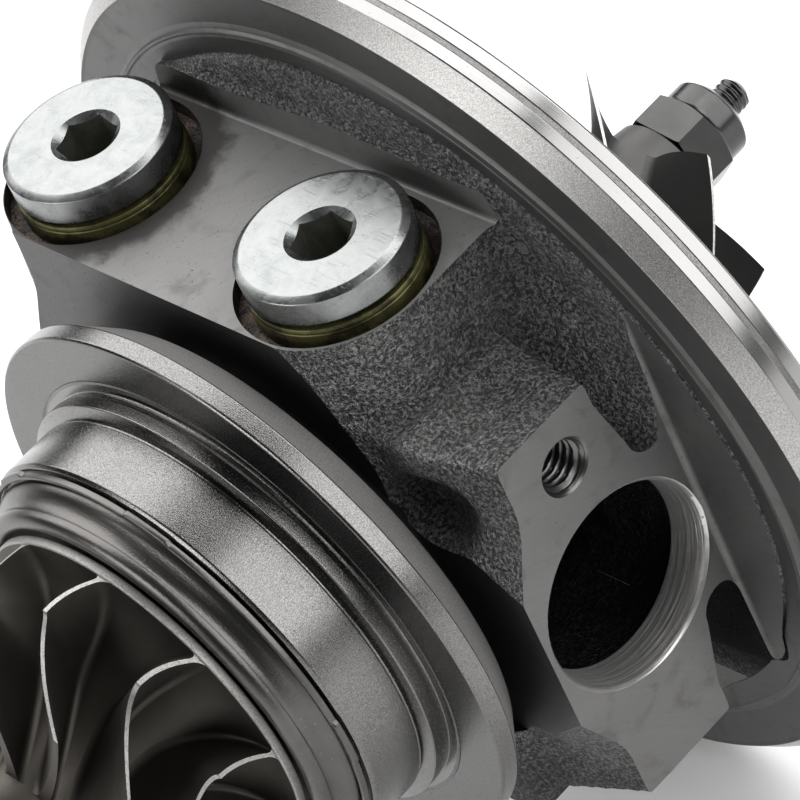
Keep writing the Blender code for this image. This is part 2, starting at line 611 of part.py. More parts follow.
def bearing_housing(look):
    body = turned("bearing_housing", housing_profile(), look, HOUSING_FACETS)
    for block in plug_pad_blocks():
        combine(body, block, "UNION")
    combine(body, shoulder_block(), "UNION")
    drain = prism("drain_pad", drain_outline(), "Y", DRAIN_PAD_ROOT_Y, DRAIN_PAD_Y, None)
    combine(body, drain, "UNION")
    feed_boss = turned_at(
        "feed_boss",
        [(0.0, 0.0), (0.0, FEED_BOSS_RADIUS + 2.0 * mm), (FEED_FACE_Y - 15.0 * mm, FEED_BOSS_RADIUS),
         (FEED_FACE_Y - 15.0 * mm, 0.0)],
        (PLUG_X, 15.0 * mm, 0.0),
        (0.0, 1.0, 0.0),
        None,
        SHAFT_FACETS,
    )
    combine(body, feed_boss, "UNION")
    coolant_pad = prism(
        "coolant_pad",
        box_outline(
            PLUG_PAD_NEAR_X + 1.0 * mm,
            DISC_BACK_X + OVERLAP,
            -COOLANT_PAD_HALF_WIDTH,
            COOLANT_PAD_HALF_WIDTH,
        ),
        "Z",
        COOLANT_PAD_Z,
        -9.5 * mm,
        None,
    )
    combine(body, coolant_pad, "UNION")
    combine(body, near_face_cut(), "DIFFERENCE")
    mill_outline = box_outline(DISC_BACK_X - 6.0 * mm, DISC_BACK_X, -DISC_RADIUS, DISC_RADIUS)
    for name, axis, low, high in (
        ("drain_mill_cut", "Y", -DISC_RADIUS - OVERLAP, DRAIN_PAD_Y),
        ("plug_mill_cut", "Z", PLUG_PAD_Z, DISC_RADIUS + OVERLAP),
    ):
        combine(body, prism(name, mill_outline, axis, low, high, None), "DIFFERENCE")
    for cutter in (compressor_side_pocket(), bearing_bore(), shield_pocket()):
        combine(body, cutter, "DIFFERENCE")
    combine(body, drain_bore_cutter(), "DIFFERENCE")
    combine(body, oil_cavity_cutter(), "DIFFERENCE")
    oil_slot = prism(
        "bearing_oil_slot",
        box_outline(CIRCLIP_X[1] + 1.9 * mm, CIRCLIP_X[2] - 1.0 * mm, -3.4 * mm, 3.4 * mm),
        "Y",
        CAVITY_INNER_Y - OVERLAP,
        -4.0 * mm,
        None,
    )
    combine(body, oil_slot, "DIFFERENCE")
    drain_screw_hole = turned_at(
        "drain_screw_hole",
        [(-OVERLAP, 0.0), (-OVERLAP, DRAIN_SCREW_MOUTH + OVERLAP),
         (DRAIN_SCREW_MOUTH - DRAIN_SCREW_RADIUS, DRAIN_SCREW_RADIUS),
         (DRAIN_SCREW_DEPTH, DRAIN_SCREW_RADIUS), (DRAIN_SCREW_DEPTH + 1.2 * mm, 0.0)],
        (DRAIN_SCREW_X, DRAIN_PAD_Y, DRAIN_SCREW_Z),
        (0.0, 1.0, 0.0),
        None,
        SMALL_HOLE_FACETS,
    )
    combine(body, drain_screw_hole, "DIFFERENCE")
    for number, centre_y in enumerate(PLUG_Y, start=1):
        port = spot_faced_hole(
            f"plug_port_{number}",
            (PLUG_X, centre_y, PLUG_PAD_Z),
            (0.0, 0.0, -1.0),
            SPOT_FACE_RADIUS,
            SPOT_FACE_DEPTH,
            PLUG_SHANK_RADIUS + SEAT_GAP,
            SPOT_FACE_DEPTH + PLUG_SHANK_LENGTH,
        )
        combine(body, port, "DIFFERENCE")
    for number, side in enumerate((-1, 1), start=1):
        port = spot_faced_hole(
            f"coolant_port_{number}",
            (PLUG_X, side * COOLANT_PORT_SPACING / 2, COOLANT_PAD_Z),
            (0.0, 0.0, 1.0),
            COOLANT_PORT_RADIUS + 3.0 * mm,
            0.6 * mm,
            COOLANT_PORT_RADIUS,
            COOLANT_PORT_DEPTH,
        )
        combine(body, port, "DIFFERENCE")
    feed_port = spot_faced_hole(
        "feed_port",
        (PLUG_X, FEED_FACE_Y, 0.0),
        (0.0, -1.0, 0.0),
        FEED_HOLE_RADIUS + 1.0 * mm,
        0.6 * mm,
        FEED_HOLE_RADIUS,
        FEED_HOLE_DEPTH,
    )
    combine(body, feed_port, "DIFFERENCE")
    return body


def port_plug(number, centre_y, look):
    """Hexagon socket screw plug with a thick collar, standing on its washer."""
    collar_end = PLUG_COLLAR_HEIGHT
    profile = [
        (-PLUG_SHANK_LENGTH + SPOT_FACE_DEPTH, 0.0),
        (-PLUG_SHANK_LENGTH + SPOT_FACE_DEPTH, PLUG_SHANK_RADIUS),
        (0.0, PLUG_SHANK_RADIUS),
        (0.0, PLUG_COLLAR_RADIUS),
        (collar_end - PLUG_COLLAR_CHAMFER * 0.6, PLUG_COLLAR_RADIUS),
        (collar_end, PLUG_COLLAR_RADIUS - PLUG_COLLAR_CHAMFER),
        (collar_end, PLUG_MOUTH_RADIUS),
        (collar_end - PLUG_MOUTH_DEPTH, PLUG_HEX_ACROSS_FLATS / 2 - 0.2 * mm),
        (collar_end - PLUG_MOUTH_DEPTH, 0.0),
    ]
    base = (PLUG_X, centre_y, COLLAR_BASE_Z)
    plug = turned_at(f"port_plug_{number}", profile, base, (0.0, 0.0, 1.0), look, PLUG_FACETS)
    corner = PLUG_HEX_ACROSS_FLATS / math.sqrt(3)
    turn = 22.0 if number == 1 else 26.0
    hexagon = [
        (PLUG_X + corner * math.cos(math.radians(turn + 60 * side)),
         centre_y + corner * math.sin(math.radians(turn + 60 * side)))
        for side in range(6)
    ]
    socket = prism(
        f"plug_socket_{number}", hexagon, "Z", PLUG_TOP_Z - PLUG_HEX_DEPTH, PLUG_TOP_Z + OVERLAP, None
    )
    combine(plug, socket, "DIFFERENCE")
    return plug


def plug_washer(number, centre_y, look):
    hole = PLUG_SHANK_RADIUS + SEAT_GAP
    profile = [
        (0.0, hole),
        (0.0, WASHER_RADIUS),
        (WASHER_THICKNESS, WASHER_RADIUS),
        (WASHER_THICKNESS, hole),
    ]
    base = (PLUG_X, centre_y, WASHER_Z)
    return turned_at(f"plug_washer_{number}", profile, base, (0.0, 0.0, 1.0), look, PLUG_FACETS)


def sheet_profile(centre_line, thickness):
    """Closed outline of a bent sheet that follows a centre line at equal thickness."""
    upper = []
    lower = []
    for index, point in enumerate(centre_line):
        before = Vector(centre_line[max(index - 1, 0)])
        after = Vector(centre_line[min(index + 1, len(centre_line) - 1)])
        along = (after - before).normalized()
        across = Vector((-along.y, along.x)) * thickness / 2
        upper.append(tuple(Vector(point) + across))
        lower.append(tuple(Vector(point) - across))
    return upper + lower[::-1]


def heat_shield(look):
    """Pressed dish behind the turbine wheel, with a rolled crest round the wheel's rim."""
    crest = 0.9 * mm
    floor_bend = 0.9 * mm
    line = [(SHIELD_SEAT_X, SHIELD_SEAT_RADIUS)]
    line += [(SHIELD_SEAT_X - 1.0 * mm, SHIELD_SEAT_RADIUS - 0.3 * mm)]
    line += [(SHIELD_SEAT_X - 2.4 * mm, SHIELD_SEAT_RADIUS - 1.1 * mm)]
    line += arc(SHIELD_CREST_X + crest, SHIELD_CREST_RADIUS, crest, 90, 240, 3)
    line += arc(SHIELD_FLOOR_X - floor_bend, SHIELD_CREST_RADIUS - 1.9 * mm, floor_bend, 45, 0, 1)
    line += [(SHIELD_FLOOR_X + 1.0 * mm, SHIELD_HOLE_RADIUS + 3.0 * mm)]
    line += [(SHIELD_FLOOR_X + 1.0 * mm, SHIELD_HOLE_RADIUS)]
    return turned("heat_shield", sheet_profile(line, SHIELD_THICKNESS), look, RING_FACETS)


def spring_ring(look):
    """Flat wire ring that holds the shield, with three raised tabs on its rim."""
    steps = 72
    inner = SHIELD_SEAT_RADIUS + SHIELD_THICKNESS / 2 + SEAT_GAP
    width = 0.8 * mm
    start_x = SHIELD_SEAT_X - 0.1 * mm

    def build(work):
        rings = []
        for step in range(steps):
            turn = FULL_TURN * step / steps
            outer = inner + SPRING_RING_HEIGHT
            for tab in SPRING_TAB_ANGLES:
                apart = abs((turn - tab + math.pi) % FULL_TURN - math.pi)
                if apart < SPRING_TAB_SPAN / 2:
                    outer += SPRING_TAB_HEIGHT
            corners = [
                (start_x, inner),
                (start_x - width, inner),
                (start_x - width, outer),
                (start_x, outer),
            ]
            rings.append(
                [
                    work.verts.new((x, -radius * math.sin(turn), radius * math.cos(turn)))
                    for x, radius in corners
                ]
            )
        for step, ring in enumerate(rings):
            following = rings[(step + 1) % steps]
            for side in range(4):
                near = (side + 1) % 4
                work.faces.new((ring[side], ring[near], following[near], following[side]))

    return add_object("spring_ring", mesh_from("spring_ring", build), look)


def open_ring(name, start_x, width, inner, outer, opening, look, turn=0.0, facets=18):
    """Circlip or piston ring: a flat ring with a gap."""
    profile = [(start_x, inner), (start_x + width, inner), (start_x + width, outer), (start_x, outer)]
    return turned(name, profile, look, facets, FULL_TURN - opening, turn)


def floating_bush(name, start_x, look):
    outer = BEARING_BORE_RADIUS - RUNNING_GAP
    inner = JOURNAL_RADIUS + RUNNING_GAP
    chamfer = 0.4 * mm
    profile = [
        (start_x, inner),
        (start_x, outer - chamfer),
        (start_x + chamfer, outer),
        (start_x + BUSH_LENGTH - chamfer, outer),
        (start_x + BUSH_LENGTH, outer - chamfer),
        (start_x + BUSH_LENGTH, inner),
    ]
    bush = turned(name, profile, look, SHAFT_FACETS)
    middle = start_x + BUSH_LENGTH / 2
    for label, direction in (("y", (0.0, 1.0, 0.0)), ("z", (0.0, 0.0, 1.0))):
        reach = BEARING_BORE_RADIUS + OVERLAP
        start = Vector((middle, 0.0, 0.0)) - Vector(direction) * reach
        hole = turned_at(
            f"{name}_oil_hole_{label}",
            [(0.0, 0.0), (0.0, BUSH_OIL_HOLE_RADIUS), (2 * reach, BUSH_OIL_HOLE_RADIUS), (2 * reach, 0.0)],
            start,
            direction,
            None,
            8,
        )
        combine(bush, hole, "DIFFERENCE")
    return bush


def thrust_bearing(look):
    """Flat thrust bearing, slotted so that it slides over the collar's groove."""
    end_x = THRUST_BEARING_X + THRUST_BEARING_THICKNESS
    hole = COLLAR_GROOVE_RADIUS + THRUST_GAP
    profile = [
        (THRUST_BEARING_X, hole),
        (end_x, hole),
        (end_x, THRUST_BEARING_RADIUS),
        (THRUST_BEARING_X, THRUST_BEARING_RADIUS),
    ]
    bearing = turned("thrust_bearing", profile, look, SHAFT_FACETS)
    slot = prism(
        "thrust_bearing_slot",
        box_outline(THRUST_BEARING_X - OVERLAP, end_x + OVERLAP, -hole - 0.2 * mm, hole + 0.2 * mm),
        "Y",
        -THRUST_BEARING_RADIUS - OVERLAP,
        0.0,
        None,
    )
    combine(bearing, slot, "DIFFERENCE")
    return bearing


def oil_deflector(look):
    profile = [
        (DEFLECTOR_X, DEFLECTOR_HOLE_RADIUS),
        (DEFLECTOR_X + DEFLECTOR_THICKNESS, DEFLECTOR_HOLE_RADIUS),
        (DEFLECTOR_X + DEFLECTOR_THICKNESS, PLATE_RADIUS - 0.5 * mm),
        (DEFLECTOR_X, PLATE_RADIUS - 0.5 * mm),
    ]
    return turned("oil_deflector", profile, look, SHAFT_FACETS)


def seal_plate(look):
    """Plate that closes the thrust pocket, dished inside and grooved for its ring."""
    groove_start = PLATE_X + PLATE_THICKNESS / 2 - O_RING_SECTION - 0.3 * mm
    groove_end = PLATE_X + PLATE_THICKNESS / 2 + O_RING_SECTION + 0.3 * mm
    floor = PLATE_RADIUS - O_RING_GROOVE_DEPTH - 0.6 * mm
    profile = [
        (PLATE_DISH_X, SEAL_BORE_RADIUS),
        (PLATE_DISH_X, PLATE_DISH_RADIUS - 1.0 * mm),
        (PLATE_X, PLATE_DISH_RADIUS),
        (PLATE_X, PLATE_RADIUS),
        (groove_start, PLATE_RADIUS),
        (groove_start, floor),
        (groove_end, floor),
        (groove_end, PLATE_RADIUS),
        (PLATE_END_X, PLATE_RADIUS),
        (PLATE_END_X, SEAL_BORE_RADIUS + 5.0 * mm),
        (PLATE_END_X + PLATE_BOSS_HEIGHT, SEAL_BORE_RADIUS + 4.0 * mm),
        (PLATE_END_X + PLATE_BOSS_HEIGHT, SEAL_BORE_RADIUS),
    ]
    return turned("seal_plate", profile, look, BORE_FACETS)


def seal_plate_ring(look):
    floor = PLATE_RADIUS - O_RING_GROOVE_DEPTH - 0.6 * mm
    section = arc(
        PLATE_X + PLATE_THICKNESS / 2, floor + O_RING_SECTION + SEAT_GAP, O_RING_SECTION, 0, 300, 5
    )
    return turned("seal_plate_o_ring", section, look, BORE_FACETS)


def thrust_collar(look):
    hole = STUB_RADIUS + THRUST_GAP
    flange_end = COLLAR_X + COLLAR_FLANGE
    far_flange = COLLAR_END_X - COLLAR_FLANGE
    profile = [
        (COLLAR_X, hole),
        (COLLAR_X, COLLAR_RADIUS),
        (flange_end, COLLAR_RADIUS),
        (flange_end, COLLAR_GROOVE_RADIUS),
        (far_flange, COLLAR_GROOVE_RADIUS),
        (far_flange, COLLAR_RADIUS),
        (COLLAR_END_X, COLLAR_RADIUS),
        (COLLAR_END_X, hole),
    ]
    return turned("thrust_collar", profile, look, SHAFT_FACETS)


def seal_sleeve(look):
    """Sleeve behind the compressor wheel: a flinger flange and one ring groove."""
    hole = STUB_RADIUS + THRUST_GAP
    radius = SEAL_BORE_RADIUS - THRUST_GAP
    ring_floor = radius - PISTON_RING_WALL - SEAT_GAP
    ring_end = SLEEVE_RING_X + PISTON_RING_WIDTH
    profile = [
        (SLEEVE_X, hole),
        (SLEEVE_X, COLLAR_RADIUS),
        (SLEEVE_X + SLEEVE_FLANGE, COLLAR_RADIUS),
        (SLEEVE_X + SLEEVE_FLANGE, radius),
        (SLEEVE_RING_X - THRUST_GAP, radius),
        (SLEEVE_RING_X - THRUST_GAP, ring_floor),
        (ring_end + THRUST_GAP, ring_floor),
        (ring_end + THRUST_GAP, radius),
        (SLEEVE_END_X, radius),
        (SLEEVE_END_X, hole),
    ]
    return turned("seal_sleeve", profile, look, SHAFT_FACETS)


def rotor_shaft(look):
    ring_floor = SEAL_HUB_RADIUS - PISTON_RING_WALL - SEAT_GAP
    ring_end = WHEEL_RING_X + PISTON_RING_WIDTH
    relief_start = TURBINE_BUSH_X + BUSH_LENGTH + 1.0 * mm
    relief_end = COMPRESSOR_BUSH_X - 1.0 * mm
    profile = [
        (SHAFT_START_X, 0.0),
        (SHAFT_START_X, SEAL_HUB_RADIUS),
        (WHEEL_RING_X - THRUST_GAP, SEAL_HUB_RADIUS),
        (WHEEL_RING_X - THRUST_GAP, ring_floor),
        (ring_end + THRUST_GAP, ring_floor),
        (ring_end + THRUST_GAP, SEAL_HUB_RADIUS),
        (SEAL_HUB_END_X, SEAL_HUB_RADIUS),
        (SEAL_HUB_END_X, JOURNAL_RADIUS + 1.0 * mm),
        (SEAL_HUB_END_X + 1.0 * mm, JOURNAL_RADIUS),
        (relief_start, JOURNAL_RADIUS),
        (relief_start, RELIEF_RADIUS),
        (relief_end, RELIEF_RADIUS),
        (relief_end, JOURNAL_RADIUS),
        (JOURNAL_END_X, JOURNAL_RADIUS),
        (JOURNAL_END_X, STUB_RADIUS),
        (SHAFT_TIP_X - SHAFT_TIP_CHAMFER, STUB_RADIUS),
        (SHAFT_TIP_X, STUB_RADIUS - SHAFT_TIP_CHAMFER),
        (SHAFT_TIP_X, 0.0),
    ]
    return turned("rotor_shaft", profile, look, SHAFT_FACETS)


def quarter_curve(start, end, share, first_along_radius):
    """Point at a share of a quarter ellipse from start to end in (x, radius)."""
    turn = share * math.pi / 2
    lead = math.sin(turn)
    lag = 1.0 - math.cos(turn)
    along_x, along_radius = (lag, lead) if first_along_radius else (lead, lag)
    return (
        start[0] + (end[0] - start[0]) * along_x,
        start[1] + (end[1] - start[1]) * along_radius,
    )


def turbine_hub(share):
    rim = (TURBINE_RIM_X - TURBINE_RIM, TURBINE_RADIUS - 0.3 * mm)
    return quarter_curve(rim, (TURBINE_EXIT_X, TURBINE_HUB_RADIUS), share, True)


def turbine_shroud(share):
    inlet = (TURBINE_INLET_TIP_X, TURBINE_INLET_TIP_RADIUS)
    return quarter_curve(inlet, (TURBINE_EXIT_X, TURBINE_EXIT_TIP_RADIUS), share, True)


def turbine_angle(x):
    """Camber angle from +Z towards -Y at a station along the shaft."""
    inlet_x = TURBINE_RIM_X - TURBINE_RIM
    along = (inlet_x - x) / (inlet_x - TURBINE_EXIT_X)
    bend = max(0.0, (along - 0.5) / 0.5)
    return TURBINE_PHASE + TURBINE_LEAN * along + TURBINE_TURNING * bend**2


def compressor_hub(share):
    nose = (COMPRESSOR_INLET_X, COMPRESSOR_HUB_RADIUS)
    rim = (COMPRESSOR_BACK_X + COMPRESSOR_RIM, COMPRESSOR_RADIUS)
    return quarter_curve(nose, rim, share, False)


def compressor_shroud(share):
    inlet = (COMPRESSOR_INLET_X, COMPRESSOR_INLET_RADIUS)
    outlet = (COMPRESSOR_BACK_X + COMPRESSOR_RIM + COMPRESSOR_EXIT_WIDTH, COMPRESSOR_RADIUS)
    return quarter_curve(inlet, outlet, share, False)


def compressor_angle(share):
    """Camber angle from +Z towards -Y at a share of the way from inlet to outlet."""
    inducer = COMPRESSOR_WRAP * (1.0 - (1.0 - share) ** 2.2)
    return COMPRESSOR_PHASE + inducer + COMPRESSOR_BACKSWEEP * share**2


def add_blade(work, surface, thickness, stations, layers):
    """Closed blade: two sides of a lofted grid, half a thickness either side of camber."""
    sides = []
    for side in (-1, 1):
        grid = []
        for station in range(stations + 1):
            row = []
            for layer in range(layers + 1):
                share = station / stations
                height = layer / layers
                x, radius, angle = surface(share, height)
                turn = angle + side * thickness(share, height) / 2 / radius
                place = (x, -radius * math.sin(turn), radius * math.cos(turn))
                row.append(work.verts.new(place))
            grid.append(row)
        sides.append(grid)
    left, right = sides
    for station in range(stations):
        for layer in range(layers):
            for grid in sides:
                work.faces.new(
                    (
                        grid[station][layer],
                        grid[station + 1][layer],
                        grid[station + 1][layer + 1],
                        grid[station][layer + 1],
                    )
                )
        for layer in (0, layers):
            work.faces.new(
                (
                    left[station][layer],
                    left[station + 1][layer],
                    right[station + 1][layer],
                    right[station][layer],
                )
            )
    for station in (0, stations):
        for layer in range(layers):
            work.faces.new(
                (
                    left[station][layer],
                    left[station][layer + 1],
                    right[station][layer + 1],
                    right[station][layer],
                )
            )


def turbine_blades():
    """All turbine blades, each sunk a little below the hub's surface."""
    sink = 0.09

    def build(work):
        for blade in range(TURBINE_BLADES):
            offset = blade * FULL_TURN / TURBINE_BLADES

            def surface(share, height, offset=offset):
                hub_x, hub_radius = turbine_hub(share)
                tip_x, tip_radius = turbine_shroud(share)
                raised = height * (1.0 + sink) - sink
                x = hub_x + (tip_x - hub_x) * raised
                radius = hub_radius + (tip_radius - hub_radius) * raised
                inward = 0.6 * mm * (1.0 - share) * (1.0 - height)
                return x + inward, radius - inward, turbine_angle(x) + offset

            def thickness(share, height):
                return TURBINE_BLADE_ROOT + (TURBINE_BLADE_TIP - TURBINE_BLADE_ROOT) * height

            add_blade(work, surface, thickness, 6, 2)

    return add_object("turbine_blades", mesh_from("turbine_blades", build), None)


def turbine_wheel(look):
    boss_x = SHAFT_START_X - SEAT_GAP
    profile = [
        (boss_x, 0.0),
        (boss_x, SEAL_HUB_RADIUS),
        (TURBINE_RIM_X + 0.6 * mm, SEAL_HUB_RADIUS + 1.0 * mm),
        (TURBINE_RIM_X + 0.2 * mm, TURBINE_RADIUS - 0.3 * mm),
        (TURBINE_RIM_X, TURBINE_RADIUS),
        (TURBINE_RIM_X - TURBINE_RIM, TURBINE_RADIUS),
    ]
    profile += [turbine_hub(step / 6) for step in range(7)]
    profile += [
        (TURBINE_NOSE_X + 2.2 * mm, TURBINE_HUB_RADIUS - 0.2 * mm),
        (TURBINE_NOSE_X, TURBINE_NOSE_RADIUS),
        (TURBINE_NOSE_X, 0.0),
    ]
    wheel = turned("turbine_wheel", profile, look, WHEEL_FACETS)
    combine(wheel, turbine_blades(), "UNION")
    return wheel


def compressor_blades():
    """Six full blades and, half a pitch on, six splitters that start further back."""
    sink = 0.1

    def build(work):
        for blade in range(2 * COMPRESSOR_BLADES):
            offset = blade * FULL_TURN / (2 * COMPRESSOR_BLADES)
            first = SPLITTER_START if blade % 2 else 0.0

            def surface(share, height, offset=offset, first=first):
                place = first + (1.0 - first) * share
                hub_x, hub_radius = compressor_hub(place)
                tip_x, tip_radius = compressor_shroud(place)
                raised = height * (1.0 + sink) - sink
                x = hub_x + (tip_x - hub_x) * raised
                radius = hub_radius + (tip_radius - hub_radius) * raised
                inward = 0.4 * mm * (1.0 - height)
                radius -= inward if place < 0.9 else 0.15 * mm
                return x, radius, compressor_angle(place) + offset

            def thickness(share, height):
                return COMPRESSOR_BLADE_ROOT + (COMPRESSOR_BLADE_TIP - COMPRESSOR_BLADE_ROOT) * height

            add_blade(work, surface, thickness, 6 if blade % 2 == 0 else 5, 2)

    return add_object("compressor_blades", mesh_from("compressor_blades", build), None)


def compressor_wheel(look):
    hole = STUB_RADIUS + THRUST_GAP
    boss_x = SLEEVE_END_X + SEAT_GAP
    profile = [
        (boss_x, hole),
        (boss_x, SEAL_BORE_RADIUS),
        (COMPRESSOR_BACK_X, SEAL_BORE_RADIUS + 2.0 * mm),
        (COMPRESSOR_BACK_X, COMPRESSOR_RADIUS),
    ]
    profile += [compressor_hub(1.0 - step / 6) for step in range(7)]
    profile += [(COMPRESSOR_NOSE_X, COMPRESSOR_NOSE_RADIUS), (COMPRESSOR_NOSE_X, hole)]
    wheel = turned("compressor_wheel", profile, look, WHEEL_FACETS)
    combine(wheel, compressor_blades(), "UNION")
    return wheel


def shaft_nut(look):
    """Nut with a hexagon against the wheel and a round crown in front of it."""
    hole = STUB_RADIUS + THRUST_GAP
    corner = NUT_ACROSS_FLATS / math.sqrt(3)
    hex_end = NUT_X + NUT_HEX_LENGTH
    crown_end = hex_end + NUT_CROWN_LENGTH
    profile = [
        (NUT_X, hole),
        (NUT_X, corner - NUT_CHAMFER * 0.6),
        (NUT_X + NUT_CHAMFER * 0.5, corner + 0.1 * mm),
        (hex_end - NUT_CHAMFER * 0.7, corner + 0.1 * mm),
        (hex_end, NUT_CROWN_RADIUS),
        (crown_end - NUT_CHAMFER * 1.3, NUT_CROWN_RADIUS),
        (crown_end, NUT_CROWN_RADIUS - NUT_CHAMFER * 1.6),
        (crown_end, hole),
    ]
    nut = turned("shaft_nut", profile, look, SHAFT_FACETS)
    hexagon = [
        (corner * math.cos(math.radians(10 + 60 * side)), corner * math.sin(math.radians(10 + 60 * side)))
        for side in range(6)
    ]
    flats = prism("nut_flats", hexagon, "X", NUT_X - OVERLAP, crown_end + OVERLAP, None)
    combine(nut, flats, "INTERSECT")
    return nut


def build_part():
    clear_scene()
    iron = material("machined_cast_iron", (0.16, 0.155, 0.15), 0.45, 0.9)
    zinc = material("zinc_plated_steel", (0.62, 0.63, 0.62), 0.3, 1.0)
    sealing = material("olive_passivated_washer", (0.27, 0.26, 0.12), 0.45, 0.8)
    stainless = material("satin_stainless_sheet", (0.33, 0.31, 0.29), 0.35, 1.0)
    spring = material("spring_steel_ring", (0.3, 0.3, 0.3), 0.4, 1.0)
    nickel = material("cast_nickel_alloy", (0.13, 0.12, 0.11), 0.5, 0.9)
    ground = material("ground_steel_shaft", (0.5, 0.5, 0.5), 0.25, 1.0)
    bronze = material("bearing_brass", (0.6, 0.42, 0.2), 0.35, 1.0)
    clip = material("phosphated_circlip", (0.09, 0.09, 0.09), 0.5, 0.8)
    sintered = material("thrust_bearing_bronze", (0.5, 0.34, 0.18), 0.4, 1.0)
    hardened = material("hardened_steel_collar", (0.38, 0.38, 0.39), 0.3, 1.0)
    plate = material("turned_seal_plate", (0.42, 0.42, 0.42), 0.4, 1.0)
    rubber = material("seal_rubber", (0.02, 0.02, 0.02), 0.7, 0.0)
    aluminium = material("cast_aluminium_wheel", (0.5, 0.5, 0.5), 0.4, 1.0)
    nut_steel = material("bright_steel_nut", (0.55, 0.55, 0.55), 0.3, 1.0)

    bearing_housing(iron)
    for number, centre_y in enumerate(PLUG_Y, start=1):
        port_plug(number, centre_y, zinc)
        plug_washer(number, centre_y, sealing)
    heat_shield(stainless)
    spring_ring(spring)
    floating_bush("turbine_side_bush", TURBINE_BUSH_X, bronze)
    floating_bush("compressor_side_bush", COMPRESSOR_BUSH_X, bronze)
    for number, start_x in enumerate(CIRCLIP_X, start=1):
        open_ring(
            f"bush_circlip_{number}",
            start_x,
            CIRCLIP_WIDTH,
            CIRCLIP_INNER_RADIUS,
            CIRCLIP_OUTER_RADIUS,
            CIRCLIP_OPENING,
            clip,
            turn=number * 2.0,
        )
    thrust_bearing(sintered)
    thrust_collar(hardened)
    oil_deflector(stainless)
    seal_plate(plate)
    seal_plate_ring(rubber)
    open_ring(
        "seal_plate_retainer",
        RETAINER_X,
        RETAINER_THICKNESS,
        PLATE_POCKET_RADIUS + RETAINER_DEPTH - SEAT_GAP - RETAINER_WIDTH,
        PLATE_POCKET_RADIUS + RETAINER_DEPTH - SEAT_GAP,
        RETAINER_OPENING,
        clip,
        turn=math.radians(180),
        facets=RING_FACETS,
    )
    seal_sleeve(hardened)
    for name, start_x, bore in (
        ("turbine_piston_ring", WHEEL_RING_X, SEAL_BORE_CLEAR),
        ("compressor_piston_ring", SLEEVE_RING_X, SEAL_BORE_RADIUS),
    ):
        outer = bore - THRUST_GAP
        open_ring(
            name,
            start_x,
            PISTON_RING_WIDTH,
            outer - PISTON_RING_WALL,
            outer,
            PISTON_RING_OPENING,
            spring,
            facets=SHAFT_FACETS,
        )
    rotor_shaft(ground)
    turbine_wheel(nickel)
    compressor_wheel(aluminium)
    shaft_nut(nut_steel)


build_part()
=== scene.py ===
import math
from functools import partial

import bmesh
import bpy
import numpy as np
from mathutils import Matrix, Vector


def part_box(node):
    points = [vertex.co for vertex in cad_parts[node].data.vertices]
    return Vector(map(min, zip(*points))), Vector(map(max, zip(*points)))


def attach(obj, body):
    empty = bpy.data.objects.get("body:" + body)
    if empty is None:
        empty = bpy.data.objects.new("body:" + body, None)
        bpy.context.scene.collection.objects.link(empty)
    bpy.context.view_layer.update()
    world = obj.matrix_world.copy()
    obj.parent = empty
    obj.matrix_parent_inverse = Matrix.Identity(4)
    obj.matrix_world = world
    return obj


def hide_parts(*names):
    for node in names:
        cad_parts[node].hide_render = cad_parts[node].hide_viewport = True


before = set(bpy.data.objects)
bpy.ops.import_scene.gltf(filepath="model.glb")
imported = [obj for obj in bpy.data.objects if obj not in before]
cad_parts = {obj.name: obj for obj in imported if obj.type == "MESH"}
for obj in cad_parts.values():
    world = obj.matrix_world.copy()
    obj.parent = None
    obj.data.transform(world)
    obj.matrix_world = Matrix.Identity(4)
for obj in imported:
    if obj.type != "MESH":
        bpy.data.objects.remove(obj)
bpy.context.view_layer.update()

# Cast body of the bearing housing
# Grey iron, sand cast. It carries the shaft, the plug pad, the drain pad, the feed boss and the coolant
# pad, and its skin stays rough and dark wherever no tool has passed.
MM = 0.001


def node_box(node):
    """Low and high corners of a CAD node's box, in millimetres."""
    return [np.array(corner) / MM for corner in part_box(node)]


HOUSING_LOW, HOUSING_HIGH = node_box("bearing_housing")
SPIGOT_FACE_X = HOUSING_LOW[0]
DISC_FACE_X = HOUSING_HIGH[0]
DISC_RADIUS = HOUSING_HIGH[2]
NECK_RADIUS = 24.2
DRUM_RADIUS = 29.0
LAND_X = 32.0
LAND_SLOPE = 0.035
LAND_RADIUS = 44.7
NEAR_FACE_X = 8.6
NEAR_FACE_LOW_Z = -18.5
CASTING_END_X = 7.4
BLOCK_X = (6.4, 34.0)
PLUG_PAD_Z = 33.4
PLUG_PAD_EDGE_Y = -22.5
PLUG_X = 19.9
PLUG_Y = (25.05, -11.05)
PLUG_BOSS_RADIUS = 11.2
PLUG_BOSS_DRAFT = 0.08
BLOCK_SIDE_Y = 27.3
NEAR_RIM_RADIUS = 37.1
SHOULDER_DRAFT = math.radians(12.5)
DRAIN_PAD_Y = -35.7
DRAIN_X = 20.7
DRAIN_Z = -3.1
DRAIN_BORE_RADIUS = 11.05
DRAIN_EAR_X = 12.4
DRAIN_EAR_Z = (-27.2, 22.0)
DRAIN_END_X = 35.0
CREST_DEPTH = 10.0
CREST_WIDTH = 1.5
CREST_HEIGHT = 1.2
HOLLOW_PLACE = (9.0, -26.0, 14.8)
HOLLOW_SIZE = (3.7, 5.6, 4.4)
DRAIN_SLOT_X = 30.1
DRAIN_SLOT_Z = (-15.6, 11.3)
DRAIN_SLOT_RADIUS = 2.8
MILL_WALL_X = 32.85
FEED_FACE_Y = 33.0
FEED_BOSS_RADIUS = 10.5
FEED_HOLE_RADIUS = 5.1
COOLANT_PAD_Z = -32.5
COOLANT_PAD_HALF_WIDTH = 22.0
COOLANT_PORT_Y = (-12.0, 12.0)
COOLANT_PORT_RADIUS = 6.2
SKIN_CELL = 0.55
STOCK = 3.0
